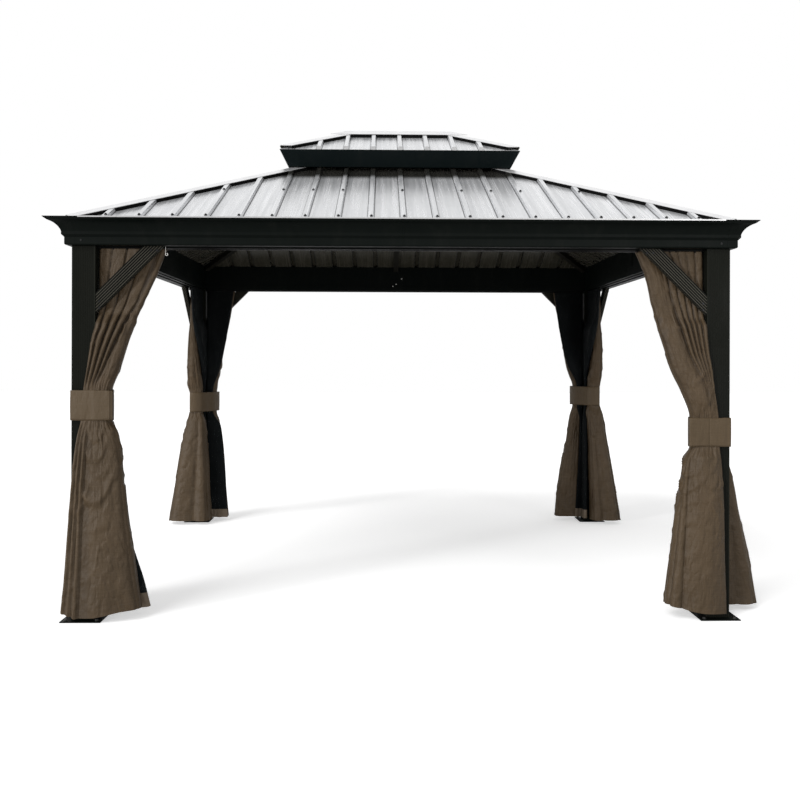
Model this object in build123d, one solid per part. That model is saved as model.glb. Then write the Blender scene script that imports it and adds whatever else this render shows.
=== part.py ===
from build123d import *
import math
import os

# A metal gazebo on four fluted posts, with a crown-moulded beam all round, a
# two-tier hipped roof of ribbed sheets with a vent between the tiers, and
# curtains and insect netting tied back to the posts. X runs along the long
# side, the front faces -Y, and the origin lies on the ground at the centre.

# Plan, measured over the tips of the crown moulding
crown_length = 3650.0
crown_depth = 3050.0

# Posts, their foot plates and the anchor holes
post_size = 120.0
post_height = 1938.0
post_wall = 2.0
post_inset = 111.0
flute_count = 9
flute_pitch = 11.5
flute_width = 3.0
flute_depth = 1.5
plate_margin = 44.0
plate_thickness = 5.0
anchor_edge = 24.0
anchor_hole_radius = 5.5

# Crown-moulded beam
beam_height = 135.0
beam_wall = 2.5
lip_edge = 3.0
lip_width = 50.0
cove_start_in = 16.0
cove_start_down = 15.0
cove_end_in = 70.0
cove_end_down = 67.0
cove_hollow = 7.0
bead_height = 15.0
fascia_in = 82.0
fascia_height = 32.0
fascia_round = 8.0
inner_ledge_height = 36.0
inner_ledge_depth = 4.0
corner_cap_length = 137.0
beam_joint = 0.6
splice_width = 120.0
splice_height = 110.0
splice_thickness = 3.0
splice_rise = 20.0

# Knee braces, with the leg measured along the post and the beam to the inner edge
brace_leg = 245.0
brace_width = 74.25
brace_thickness = 30.0
brace_inset = 3.0
brace_wall = 2.0
brace_flute_count = 6
brace_flute_pitch = 11.5
brace_flute_width = 4.0
brace_flute_depth = 1.5

# Ribbed roof sheets
roof_pitch = 25.1
panel_drop = 22.5
sheet_thickness = 1.2
rib_pitch = 171.4
rib_base = 34.0
rib_top = 24.0
rib_height = 20.0
rib_margin = 150.0
hip_gap = 3.0

# Bars under the lower roof, and the frame around the vent
rafter_width = 40.0
rafter_depth = 40.0
vent_depth = 600.0
vent_bar = 40.0
vent_bar_lap = 35.0

# Upper roof, with its eave's overhang and rise over the frame around the vent, and
# the slanted skirt that stops over the caps of the lower hips
upper_overhang = 162.0
upper_rise = 81.0
skirt_in = 52.0
skirt_thickness = 3.0
skirt_clearance = 9.4

# Folded caps over the hips and the ridge
cap_reach = 55.0
cap_thickness = 2.5
cap_setback = 30.0
upper_cap_start = 8.0
ridge_cap_reach = 105.0
ridge_cap_overhang = 56.0

# Two tracks under each beam, measured from the outer faces of the posts
track_width = 12.0
track_height = 8.0
curtain_track_in = 45.0
netting_track_in = 90.0

# Curtains and netting where they hang from the tracks and where they are tied
curtain_thickness = 22.0
netting_thickness = 20.0
gathered_width = 370.0
waist_width = 216.0
neck_flare = 10.0
tied_front = 17.0
tied_wrap = 60.0
tied_spread = 4.0
hem_height = 12.0
neck_length = 80.0
layer_gap = 1.5
band_thickness = 2.5

# Clearances between pieces that lie against each other
seat_gap = 0.3
cloth_gap = 1.0
brace_clearance = 12.0

# How far the tie band's top lies under the beam, the band's height, and how far
# each hem spreads. The face curtain hangs along the X side, and the side curtain
# along the Y side. Starts and reaches run along the track from the post's outer face.
corners = {
    "front_left": {
        "mirror": (False, False), "band_drop": 748.0, "band_height": 155.0,
        "face_start": -60.0, "face_reach": 377.0, "face_out": 36.0,
        "side_start": 10.0, "side_reach": 320.0, "side_out": 60.0,
    },
    "front_right": {
        "mirror": (True, False), "band_drop": 886.0, "band_height": 149.0,
        "face_start": 20.0, "face_reach": 300.0, "face_out": 36.0,
        "side_start": 20.0, "side_reach": 330.0, "side_out": 105.0,
    },
    "back_left": {
        "mirror": (False, True), "band_drop": 857.0, "band_height": 159.0,
        "face_start": -40.0, "face_reach": 311.0, "face_out": 50.0,
        "side_start": 10.0, "side_reach": 320.0, "side_out": 105.0,
    },
    "back_right": {
        "mirror": (True, True), "band_drop": 802.0, "band_height": 156.0,
        "face_start": -40.0, "face_reach": 341.0, "face_out": 50.0,
        "side_start": 10.0, "side_reach": 320.0, "side_out": 105.0,
    },
}

# Places worked out from the sizes above
half_length = crown_length / 2
half_depth = crown_depth / 2
post_face_x = half_length - post_inset
post_face_y = half_depth - post_inset
crown_top = post_height + beam_height
beam_inner = post_inset + post_size
brace_long_leg = brace_leg + brace_width * math.sqrt(2)
pitch_angle = math.radians(roof_pitch)
slope = math.tan(pitch_angle)
cosine = math.cos(pitch_angle)
roof_base = crown_top - panel_drop - lip_width * slope
cap_lift = (rib_height + seat_gap) / cosine
cap_rise = cap_thickness / cosine
rafter_inset = rafter_width / 2 / math.sqrt(2) + seat_gap

# The vent, measured in from the crown's tips, and the bars around it
vent_inset = (crown_depth - vent_depth) / 2
vent_bar_outer = vent_inset - vent_bar_lap
vent_bar_inner = vent_inset + vent_bar
vent_bar_top = roof_base + vent_inset * slope
vent_bar_bottom = roof_base + vent_bar_outer * slope - vent_bar
cap_start = lip_width + cap_reach / math.sqrt(2) + seat_gap
cap_end = vent_inset - cap_setback

# The upper roof, with its ridge along the longer side
upper_tip_x = half_length - vent_inset + upper_overhang
upper_tip_y = half_depth - vent_inset + upper_overhang
upper_short = min(upper_tip_x, upper_tip_y)
upper_eave_height = vent_bar_top + upper_rise
upper_peak = upper_eave_height + upper_short * slope
ridge_half = abs(upper_tip_x - upper_tip_y)
ridge_turn = 0 if crown_length >= crown_depth else 90
top_ring_outer = upper_overhang + seat_gap
top_ring_inner = top_ring_outer + vent_bar
top_ring_bottom = upper_eave_height + top_ring_outer * slope - vent_bar
skirt_foot_in = vent_inset - upper_overhang + skirt_in
skirt_foot = roof_base + skirt_foot_in * slope + cap_lift + cap_rise + skirt_clearance

# The cloth, measured in from the posts' outer faces
track_bottom = post_height - track_height
cloth_top = track_bottom - seat_gap
below_brace = post_height - brace_long_leg - brace_clearance
near = post_size + cloth_gap
neck_width = waist_width + neck_flare
top_reach = post_size + gathered_width
curtain_outer = curtain_track_in - curtain_thickness / 2
curtain_inner = curtain_track_in + curtain_thickness / 2
netting_outer = netting_track_in - netting_thickness / 2
netting_inner = netting_track_in + netting_thickness / 2
tied_split = curtain_inner + tied_spread


# Each side is built as the front and turned about Z: its turn, how far its eave
# lies from the centre, and half the eave's length
def four_sides(tip_x, tip_y):
    return {
        "front": (0, tip_y, tip_x),
        "right": (90, tip_x, tip_y),
        "back": (180, tip_y, tip_x),
        "left": (270, tip_x, tip_y),
    }


lower_sides = four_sides(half_length, half_depth)
upper_sides = four_sides(upper_tip_x, upper_tip_y)


def write(name, *solids):
    shape = solids[0] if len(solids) == 1 else Compound(children=list(solids))
    export_step(shape, f"parts/{name}.step")


def turned(shape, turn):
    return Rot(0, 0, turn) * shape


def at_corner(shape, mirror):
    flip_x, flip_y = mirror
    if flip_x:
        shape = shape.mirror(Plane.YZ)
    if flip_y:
        shape = shape.mirror(Plane.XZ)
    return shape


def four_corners(shape):
    return [at_corner(shape, corner["mirror"]) for corner in corners.values()]


# One solid from each side, made by a function of the side's reach and run
def all_round(make, sides):
    return [turned(make(reach, run), turn) for turn, reach, run in sides.values()]


def box_between(low, high):
    size = [high[axis] - low[axis] for axis in range(3)]
    return Pos(*low) * Box(*size, align=(Align.MIN, Align.MIN, Align.MIN))


def polygon(points):
    return make_face(Polyline(*points, close=True))


def plan_prism(points, low, high):
    return extrude(Pos(0, 0, low) * polygon(points), high - low)


# A flat face with one straight side between each pair of neighbouring points
def flat_face(points):
    return Face(Wire.make_polygon(points, close=True))


# A closed solid through level outlines that have the same number of corners
def drape(outlines):
    rings = [[Vector(x, y, height) for x, y in outline] for height, outline in outlines]
    faces = [flat_face(rings[0]), flat_face(rings[-1])]
    for lower, upper in zip(rings, rings[1:]):
        for k in range(len(lower)):
            n = (k + 1) % len(lower)
            foot = Edge.make_line(lower[k], lower[n])
            head = Edge.make_line(upper[k], upper[n])
            faces.append(Face.make_surface_from_curves(foot, head))
    return Solid(Shell(faces))


# Posts, with shallow flutes on all four faces and a square bore
def post():
    outer = post_size / 2
    bore = post_size - 2 * (post_wall + flute_depth)
    section = Rectangle(post_size, post_size) - Rectangle(bore, bore)
    first = -(flute_count - 1) / 2 * flute_pitch
    for turn in (0, 90, 180, 270):
        for k in range(flute_count):
            flute = Pos(first + k * flute_pitch, outer) * Rectangle(flute_width, 2 * flute_depth)
            section -= Rot(0, 0, turn) * flute
    shaft = extrude(Pos(0, 0, plate_thickness) * section, post_height - plate_thickness)
    return Pos(-post_face_x + outer, -post_face_y + outer, 0) * shaft


def base_plate():
    plate_size = post_size + 2 * plate_margin
    hole_at = plate_size / 2 - anchor_edge
    plate = Rectangle(plate_size, plate_size)
    plate -= GridLocations(2 * hole_at, 2 * hole_at, 2, 2) * Circle(anchor_hole_radius)
    centre = Pos(-post_face_x + post_size / 2, -post_face_y + post_size / 2, 0)
    return centre * extrude(plate, plate_thickness)


# The beam's section, with its tip at the origin, X inwards and Y up from the
# ground. Its sloping top lies in the plane that the roof sheets rest on.
def crown_section():
    top = crown_top
    bottom = post_height
    cove_mid_in = (cove_start_in + cove_end_in) / 2 + cove_hollow
    cove_mid_down = (cove_start_down + cove_end_down) / 2 - cove_hollow
    bead_foot = top - cove_end_down - bead_height
    fascia_top = bottom + fascia_round + fascia_height
    inner_top = roof_base + beam_inner * slope
    ledge_face = beam_inner - inner_ledge_depth
    outline = [
        Polyline((0, top), (0, top - lip_edge), (cove_start_in, top - cove_start_down)),
        ThreePointArc(
            (cove_start_in, top - cove_start_down),
            (cove_mid_in, top - cove_mid_down),
            (cove_end_in, top - cove_end_down),
        ),
        Polyline(
            (cove_end_in, top - cove_end_down),
            (cove_end_in, bead_foot),
            (fascia_in, fascia_top),
            (fascia_in, bottom + fascia_round),
        ),
        RadiusArc(
            (fascia_in, bottom + fascia_round), (fascia_in + fascia_round, bottom), -fascia_round
        ),
        Polyline(
            (fascia_in + fascia_round, bottom),
            (beam_inner, bottom),
            (beam_inner, bottom + inner_ledge_height),
            (ledge_face, bottom + inner_ledge_height),
            (ledge_face, inner_top - inner_ledge_depth * slope),
            (lip_width, roof_base + lip_width * slope),
            (lip_width, top),
            (0, top),
        ),
    ]
    return make_face(outline)


# The bore of the beam leaves a wall behind the fascia, the top and the inner face
def beam_bore():
    left = fascia_in + beam_wall
    right = beam_inner - inner_ledge_depth - beam_wall
    low = post_height + beam_wall
    rise = beam_wall / cosine
    return polygon([
        (left, low),
        (right, low),
        (right, roof_base + right * slope - rise),
        (left, roof_base + left * slope - rise),
    ])


def beam_run(reach, run, joint):
    across = Plane(origin=(0, -reach, 0), x_dir=(0, 1, 0), z_dir=(1, 0, 0))
    section = across * (crown_section() - beam_bore())
    bar = extrude(section, run, both=True)
    wide = run - joint
    narrow = run - joint - beam_inner
    inner = -reach + beam_inner
    mitre = [(-wide, -reach), (wide, -reach), (narrow, inner), (-narrow, inner)]
    return bar & plan_prism(mitre, 0, 2 * crown_top)


# Half a beam, between the corner cap and the joint at the middle of the side
def beam_halves(reach, run):
    bar = beam_run(reach, run, beam_joint)
    end = run - corner_cap_length - beam_joint
    low = (beam_joint / 2, -reach, 0)
    high = (end, -reach + beam_inner, 2 * crown_top)
    half = bar & box_between(low, high)
    return [half, half.mirror(Plane.YZ)]


def corner_cap():
    front = beam_run(half_depth, half_length, 0)
    left = turned(beam_run(half_length, half_depth, 0), 270)
    low = (-half_length, -half_depth, 0)
    high = (-half_length + corner_cap_length, -half_depth + corner_cap_length, 2 * crown_top)
    corner = box_between(low, high)
    return (front & corner) + (left & corner)


def splice(reach, run):
    face = -reach + beam_inner - inner_ledge_depth
    low = post_height + inner_ledge_height + splice_rise
    half = splice_width / 2
    return box_between((-half, face, low), (half, face + splice_thickness, low + splice_height))


# A brace at 45 degrees between a post and the beam over it, built along X
def brace(along_face, face):
    leg = (brace_leg + brace_long_leg) / 2
    depth = face + brace_inset + brace_thickness / 2
    middle = (along_face + leg / 2, depth, post_height - leg / 2)
    across = Plane(origin=middle, x_dir=(0, 1, 0), z_dir=(1, 0, 1))
    inner = 2 * (brace_wall + brace_flute_depth)
    section = Rectangle(brace_thickness, brace_width)
    section -= Rectangle(brace_thickness - inner, brace_width - 2 * brace_wall)
    first = -(brace_flute_count - 1) / 2 * brace_flute_pitch
    for side in (-1, 1):
        for k in range(brace_flute_count):
            at = Pos(side * brace_thickness / 2, first + k * brace_flute_pitch)
            section -= at * Rectangle(2 * brace_flute_depth, brace_flute_width)
    bar = extrude(across * section, brace_long_leg, both=True)
    low = (along_face, face, 0)
    high = (along_face + 2 * brace_long_leg, face + post_size, post_height)
    return bar & box_between(low, high)


def corner_braces():
    along_x = brace(-post_face_x + post_size, -post_face_y)
    along_y = brace(-post_face_y + post_size, -post_face_x)
    return [along_x, along_y.mirror(Plane(origin=(0, 0, 0), z_dir=(1, -1, 0)))]


# The upper or lower outline of one rib, from its left foot to its right foot
def rib_outline(middle, wall, level):
    foot = rib_base / 2 - wall
    crest = rib_top / 2 - wall
    high = rib_height - wall
    return [
        (middle - foot, level), (middle - crest, high),
        (middle + crest, high), (middle + foot, level),
    ]


# A ribbed sheet on the plane that rises from base at the eave, cut to the hips
def ribbed_sheet(reach, run, base, start, end):
    upslope = (0, math.cos(pitch_angle), math.sin(pitch_angle))
    across = Plane(origin=(0, -reach, base), x_dir=(-1, 0, 0), z_dir=upslope)
    count = int((run - rib_margin) / rib_pitch)
    edge = run - start
    top = [(-edge, sheet_thickness)]
    bottom = [(-edge, 0)]
    for k in range(-count, count + 1):
        top += rib_outline(k * rib_pitch, 0, sheet_thickness)
        bottom += rib_outline(k * rib_pitch, sheet_thickness, 0)
    top.append((edge, sheet_thickness))
    bottom.append((edge, 0))
    sheet = extrude(across * polygon(top + bottom[::-1]), reach / cosine)
    return sheet & hipped_prism(reach, run, start, end, hip_gap)


# A prism over the part of one side that lies between two distances from its eave,
# cut to the hips at both ends with a gap
def hipped_prism(reach, run, start, end, gap):
    wide = run - start - gap
    narrow = run - end - gap
    low_y = start - reach
    high_y = end - reach
    outline = [(-wide, low_y), (wide, low_y), (narrow, high_y), (-narrow, high_y)]
    return plan_prism(outline, 0, 2 * upper_peak)


def lower_sheet(reach, run):
    return ribbed_sheet(reach, run, roof_base, lip_width + cloth_gap, vent_inset)


def upper_sheet(reach, run):
    return ribbed_sheet(reach, run, upper_eave_height, seat_gap, upper_short - 2 * hip_gap)


# The section of a bar under a hip or ridge, with its two top faces in the planes
# of the sheets on both sides
def gabled(half, fall):
    foot = -fall - rafter_depth
    return polygon([(0, 0), (-half, -fall), (-half, foot), (half, foot), (half, -fall)])


# The section of a folded cap over a hip or ridge
def folded(half, fall):
    lower = [(-half, -fall), (0, 0), (half, -fall)]
    upper = [(half, cap_rise - fall), (0, cap_rise), (-half, cap_rise - fall)]
    return polygon(lower + upper)


# A section run up a hip, between two distances in from the corner of the eaves
def up_hip(section, tip_x, tip_y, base, start, end):
    origin = (start - tip_x, start - tip_y, base + start * slope)
    across = Plane(origin=origin, x_dir=(-1, 1, 0), z_dir=(1, 1, 0))
    run = end - start
    return Solid.extrude((across * section).face(), Vector(run, run, run * slope))


# A section run along the ridge, both ways from the middle
def along_ridge(section, height, half_run):
    across = Plane(origin=(0, 0, height), x_dir=(0, 1, 0), z_dir=(1, 0, 0))
    return turned(extrude(across * section, half_run, both=True), ridge_turn)


def hip_bar(tip_x, tip_y, base, start, end):
    half = rafter_width / 2
    section = gabled(half, half / math.sqrt(2) * slope)
    return up_hip(section, tip_x, tip_y, base, start, end)


# A bar under the middle rib of a sheet, with its top in the sheet's plane
def middle_bar(reach, run):
    start = beam_inner + seat_gap
    end = vent_bar_outer - seat_gap
    low = roof_base + start * slope
    high = roof_base + end * slope
    across = Plane(origin=(-rafter_width / 2, -reach, 0), x_dir=(0, 1, 0), z_dir=(1, 0, 0))
    section = across * polygon([
        (start, low), (end, high), (end, high - rafter_depth), (start, low - rafter_depth)
    ])
    return extrude(section, rafter_width)


# A bar of a rectangular frame under a sheet, mitred at both ends
def mitred_bar(reach, run, points):
    across = Plane(origin=(0, -reach, 0), x_dir=(0, 1, 0), z_dir=(1, 0, 0))
    bar = extrude(across * polygon(points), run, both=True)
    first = min(x for x, z in points)
    last = max(x for x, z in points)
    return bar & hipped_prism(reach, run, first, last, seat_gap / 2)


def vent_ring_bar(reach, run):
    return mitred_bar(reach, run, [
        (vent_bar_outer, vent_bar_bottom),
        (vent_bar_outer, roof_base + vent_bar_outer * slope),
        (vent_inset, vent_bar_top),
        (vent_bar_inner, vent_bar_top),
        (vent_bar_inner, vent_bar_bottom),
    ])


def top_ring_bar(reach, run):
    return mitred_bar(reach, run, [
        (top_ring_outer, top_ring_bottom),
        (top_ring_outer, upper_eave_height + top_ring_outer * slope),
        (top_ring_inner, upper_eave_height + top_ring_inner * slope),
        (top_ring_inner, top_ring_bottom),
    ])


def vent_post():
    inset = vent_inset + seat_gap
    size = vent_bar - seat_gap
    low = (-half_length + inset, -half_depth + inset, vent_bar_top)
    high = (low[0] + size, low[1] + size, top_ring_bottom)
    return box_between(low, high)


def skirt_plate(reach, run):
    top = upper_eave_height - seat_gap
    return mitred_bar(reach, run, [
        (0, top),
        (skirt_thickness, top),
        (skirt_in + skirt_thickness, skirt_foot),
        (skirt_in, skirt_foot),
    ])


# A folded cap over a hip, resting on the ribs of the two sheets
def hip_cap(tip_x, tip_y, base, start, end):
    section = folded(cap_reach, cap_reach / math.sqrt(2) * slope)
    return up_hip(section, tip_x, tip_y, base + cap_lift, start, end)


# The caps of the upper hips meet over the middle of the roof
def upper_hip_caps():
    end = upper_short + cap_reach
    cap = hip_cap(upper_tip_x, upper_tip_y, upper_eave_height, upper_cap_start, end)
    low = (-upper_tip_x, -upper_tip_y, 0)
    high = (-seat_gap / 2, -seat_gap / 2, 2 * upper_peak)
    return four_corners(cap & box_between(low, high))


# The cap over the ridge, with both ends cut in a notch along the hips
def ridge_cap():
    reach = ridge_cap_reach
    section = folded(reach, reach * slope)
    height = upper_peak + cap_lift + cap_rise + seat_gap
    tip = ridge_half + ridge_cap_overhang
    end = tip + reach
    outline = [(-end, -reach), (end, -reach), (tip, 0), (end, reach), (-end, reach), (-tip, 0)]
    plan = plan_prism(outline, 0, 2 * upper_peak)
    return along_ridge(section, height, end) & turned(plan, ridge_turn)


# The bar under the ridge, with hipped ends in the planes of the other two sheets
def ridge_bar():
    half = rafter_width / 2
    fall = half * slope
    end = ridge_half + half
    bar = along_ridge(gabled(half, fall), upper_peak, end)
    across = Plane(origin=(0, 0, upper_peak), x_dir=(1, 0, 0), z_dir=(0, -1, 0))
    foot = -2 * rafter_depth
    outline = [(-end, -fall), (-ridge_half, 0), (ridge_half, 0), (end, -fall), (end, foot), (-end, foot)]
    ends = extrude(across * polygon(outline), rafter_width, both=True)
    return bar & turned(ends, ridge_turn)


# The hip bars of the upper roof run to the corners of the ridge bar
def upper_rafters():
    start = top_ring_inner + rafter_inset
    end = upper_short - rafter_width / 2 - seat_gap
    hip = hip_bar(upper_tip_x, upper_tip_y, upper_eave_height, start, end)
    return four_corners(hip) + [ridge_bar()]


def track(reach, run, inset):
    post_face = reach - post_inset
    end = run - post_inset - post_size - seat_gap
    middle = -post_face + inset
    half = track_width / 2
    return box_between((-end, middle - half, track_bottom), (end, middle + half, post_height))


# Outlines of the cloth are given as along the track and across it, both from the
# post's outer faces. The face curtain runs along X and the side curtain along Y.
def placed(outline, along_x):
    if along_x:
        return [(along - post_face_x, across - post_face_y) for along, across in outline]
    return [(across - post_face_x, along - post_face_y) for along, across in outline]


def hung(outlines, along_x):
    return drape([(height, placed(outline, along_x)) for height, outline in outlines])


# The lower edge, the upper edge and the middle of a corner's tie band
def band_levels(corner):
    high = post_height - corner["band_drop"]
    low = high - corner["band_height"]
    return low, high, (low + high) / 2


def tied_outline(wraps):
    if wraps:
        return [
            (tied_wrap, -tied_front), (waist_width, -tied_front), (waist_width, tied_split),
            (near, tied_split), (near, -cloth_gap), (tied_wrap, -cloth_gap),
        ]
    return [
        (near, cloth_gap), (waist_width, cloth_gap), (waist_width, tied_split),
        (near, tied_split), (near, tied_split / 2), (near, tied_split / 4),
    ]


def neck_outline(wraps):
    front = -tied_front if wraps else -2 * cloth_gap
    beside = near - cloth_gap / 2
    return [
        (beside, front), (neck_width, front), (neck_width, tied_split),
        (near, tied_split), (near, -cloth_gap), (beside, -cloth_gap),
    ]


def strip_outline(reach):
    third = (reach - near) / 3
    return [
        (near, curtain_outer), (reach, curtain_outer), (reach, curtain_inner),
        (near + 2 * third, curtain_inner), (near + third, curtain_inner), (near, curtain_inner),
    ]


def hem_outline(start, reach, out):
    return [
        (start, -out), (reach, -out), (reach, tied_split),
        (near, tied_split), (near, -cloth_gap), (start, -cloth_gap),
    ]


def curtain_pieces(corner, side, wraps):
    along_x = side == "face"
    low, high, middle = band_levels(corner)
    share = (cloth_top - below_brace) / (cloth_top - high)
    brace_reach = top_reach + share * (waist_width - top_reach)
    above = hung([
        (middle, tied_outline(wraps)),
        (high, tied_outline(wraps)),
        (high + neck_length, neck_outline(wraps)),
        (below_brace, strip_outline(brace_reach)),
        (cloth_top, strip_outline(top_reach)),
    ], along_x)
    hem = hem_outline(corner[side + "_start"], corner[side + "_reach"], corner[side + "_out"])
    below = hung([
        (hem_height, hem),
        (low - neck_length / 2, neck_outline(wraps)),
        (low, tied_outline(wraps)),
        (middle - seat_gap, tied_outline(wraps)),
    ], along_x)
    return [above, below]


def netting_pieces(corner, side):
    along_x = side == "face"
    low, high, middle = band_levels(corner)
    outer = tied_split + layer_gap
    reach = corner[side + "_reach"]
    centre = (near + reach) / 2
    corner_point = (near, near - cloth_gap)
    tied = [(near, outer), (waist_width, outer), (waist_width, waist_width - cloth_gap), corner_point]
    top = [
        (near, netting_outer), (top_reach, netting_outer),
        (top_reach, netting_inner), (near, netting_inner),
    ]
    hem = [(near, outer), (reach, outer), (centre, centre - cloth_gap), corner_point]
    above = hung([(middle, tied), (high, tied), (cloth_top, top)], along_x)
    below = hung([(hem_height, hem), (low, tied), (middle - seat_gap, tied)], along_x)
    return [above, below]


# A square band around the post and the gathered cloth
def tie_band(corner):
    low, high, middle = band_levels(corner)

    def square(grow):
        first_x = -seat_gap - grow
        first_y = -tied_front - seat_gap - grow
        last = waist_width + seat_gap + grow
        return [(first_x, first_y), (last, first_y), (last, last), (first_x, last)]

    outer = plan_prism(placed(square(band_thickness), True), low, high)
    return outer - plan_prism(placed(square(0), True), low, high)


os.makedirs("parts", exist_ok=True)

for name, corner in corners.items():
    mirror = corner["mirror"]
    cloth = curtain_pieces(corner, "face", True) + curtain_pieces(corner, "side", False)
    nets = netting_pieces(corner, "face") + netting_pieces(corner, "side")
    write("post_" + name, at_corner(post(), mirror))
    write("brace_" + name, *[at_corner(piece, mirror) for piece in corner_braces()])
    write("curtain_" + name, *[at_corner(piece, mirror) for piece in cloth])
    write("netting_" + name, *[at_corner(piece, mirror) for piece in nets])
    write("tie_band_" + name, at_corner(tie_band(corner), mirror))

for name, (turn, reach, run) in lower_sides.items():
    write("beam_" + name, *[turned(half, turn) for half in beam_halves(reach, run)])
    write("lower_roof_" + name, turned(lower_sheet(reach, run), turn))

for name, (turn, reach, run) in upper_sides.items():
    write("upper_roof_" + name, turned(upper_sheet(reach, run), turn))

hip_start = beam_inner + rafter_inset
hip_end = vent_bar_outer - rafter_inset
lower_hip = hip_bar(half_length, half_depth, roof_base, hip_start, hip_end)
lower_cap = hip_cap(half_length, half_depth, roof_base, cap_start, cap_end)
tracks = all_round(lambda reach, run: track(reach, run, curtain_track_in), lower_sides)
tracks += all_round(lambda reach, run: track(reach, run, netting_track_in), lower_sides)

write("base_plates", *four_corners(base_plate()))
write("beam_corner_caps", *four_corners(corner_cap()))
write("beam_splices", *all_round(splice, lower_sides))
write("hip_rafters", *four_corners(lower_hip))
write("mid_rafters", *all_round(middle_bar, lower_sides))
write("lower_hip_caps", *four_corners(lower_cap))
write("vent_ring", *all_round(vent_ring_bar, lower_sides))
write("vent_posts", *four_corners(vent_post()))
write("vent_top_ring", *all_round(top_ring_bar, upper_sides))
write("vent_skirt", *all_round(skirt_plate, upper_sides))
write("upper_rafters", *upper_rafters())
write("upper_hip_caps", *upper_hip_caps())
write("ridge_cap", ridge_cap())
write("curtain_tracks", *tracks)
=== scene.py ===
import bpy, math
import numpy as np
from mathutils import Matrix, Vector, noise


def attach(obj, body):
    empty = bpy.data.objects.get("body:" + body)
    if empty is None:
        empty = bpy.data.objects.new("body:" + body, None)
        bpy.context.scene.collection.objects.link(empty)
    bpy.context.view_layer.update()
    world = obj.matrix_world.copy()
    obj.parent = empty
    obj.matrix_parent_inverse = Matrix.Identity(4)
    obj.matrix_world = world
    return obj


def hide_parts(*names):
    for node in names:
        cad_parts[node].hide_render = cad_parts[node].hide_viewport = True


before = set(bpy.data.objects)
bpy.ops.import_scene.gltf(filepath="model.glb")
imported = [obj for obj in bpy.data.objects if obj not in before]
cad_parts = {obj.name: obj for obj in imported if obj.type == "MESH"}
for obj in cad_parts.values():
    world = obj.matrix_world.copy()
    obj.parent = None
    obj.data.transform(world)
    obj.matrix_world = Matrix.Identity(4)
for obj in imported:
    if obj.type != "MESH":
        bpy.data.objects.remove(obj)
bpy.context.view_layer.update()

scene = bpy.context.scene
scene.view_settings.view_transform = "Standard"

# camera, at the place and lens of the photograph
cameraView = {"place": (-0.103, -5.821, 1.344), "turn": 0.0196, "roll": 0.0027,
              "lens": 38.1, "shiftUp": -0.0484}


def placeCamera(view):
    lens = bpy.data.cameras.new("photoCamera")
    lens.sensor_width = 36.0
    lens.lens = view["lens"]
    lens.shift_y = view["shiftUp"]
    lens.clip_end = 200.0
    camera = bpy.data.objects.new("photoCamera", lens)
    scene.collection.objects.link(camera)
    ahead = Vector((math.sin(view["turn"]), math.cos(view["turn"]), 0))
    across = Vector((math.cos(view["turn"]), -math.sin(view["turn"]), 0))
    up = Vector((0, 0, 1))
    tilt, level = math.sin(view["roll"]), math.cos(view["roll"])
    xAxis = across * level + up * tilt
    yAxis = up * level - across * tilt
    camera.matrix_world = Matrix((
        (xAxis.x, yAxis.x, -ahead.x, view["place"][0]),
        (xAxis.y, yAxis.y, -ahead.y, view["place"][1]),
        (xAxis.z, yAxis.z, -ahead.z, view["place"][2]),
        (0, 0, 0, 1)))
    scene.camera = camera


placeCamera(cameraView)
print("camera placed")


# a node with its settings, and each input filled by a value or by another node's output
def makeNode(tree, kind, inputs=None, **settings):
    node = tree.nodes.new(kind)
    for name, value in settings.items():
        setattr(node, name, value)
    for label, value in (inputs or {}).items():
        if isinstance(value, bpy.types.NodeSocket):
            tree.links.new(value, node.inputs[label])
        else:
            node.inputs[label].default_value = value
    return node


def linkAll(tree, node, sources):
    for label, value in sources.items():
        tree.links.new(value, node.inputs[label])


def newGroup(name, inputs, outputs):
    group = bpy.data.node_groups.new(name, "ShaderNodeTree")
    for label, kind, value in inputs:
        socket = group.interface.new_socket(label, in_out="INPUT", socket_type="NodeSocket" + kind)
        if value is not None:
            socket.default_value = value
    for label in outputs:
        group.interface.new_socket(label, in_out="OUTPUT", socket_type="NodeSocketFloat")
    return group, group.nodes.new("NodeGroupInput").outputs, group.nodes.new("NodeGroupOutput")


def groupAt(tree, group, inputs):
    return makeNode(tree, "ShaderNodeGroup", inputs, node_tree=group).outputs


def noiseAt(tree, vector, scale, detail=4.0, rough=0.55):
    return makeNode(tree, "ShaderNodeTexNoise", {
        "Vector": vector, "Scale": scale, "Detail": detail, "Roughness": rough}).outputs["Fac"]


def mathAt(tree, operation, *values):
    return makeNode(tree, "ShaderNodeMath", dict(enumerate(values)), operation=operation).outputs["Value"]


def timesAt(tree, first, second):
    return mathAt(tree, "MULTIPLY", first, second)


def rampAt(tree, value, low, high, first=0.0, last=1.0):
    return makeNode(tree, "ShaderNodeMapRange", {
        "Value": value, "From Min": low, "From Max": high, "To Min": first, "To Max": last},
        interpolation_type="SMOOTHSTEP").outputs["Result"]


def stretchedAt(tree, vector, scale, turn=0.0):
    return makeNode(tree, "ShaderNodeMapping", {
        "Vector": vector, "Scale": scale, "Rotation": (0.0, 0.0, turn)}).outputs["Vector"]


def axesOf(tree, vector):
    return makeNode(tree, "ShaderNodeSeparateXYZ", {"Vector": vector}).outputs


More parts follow.
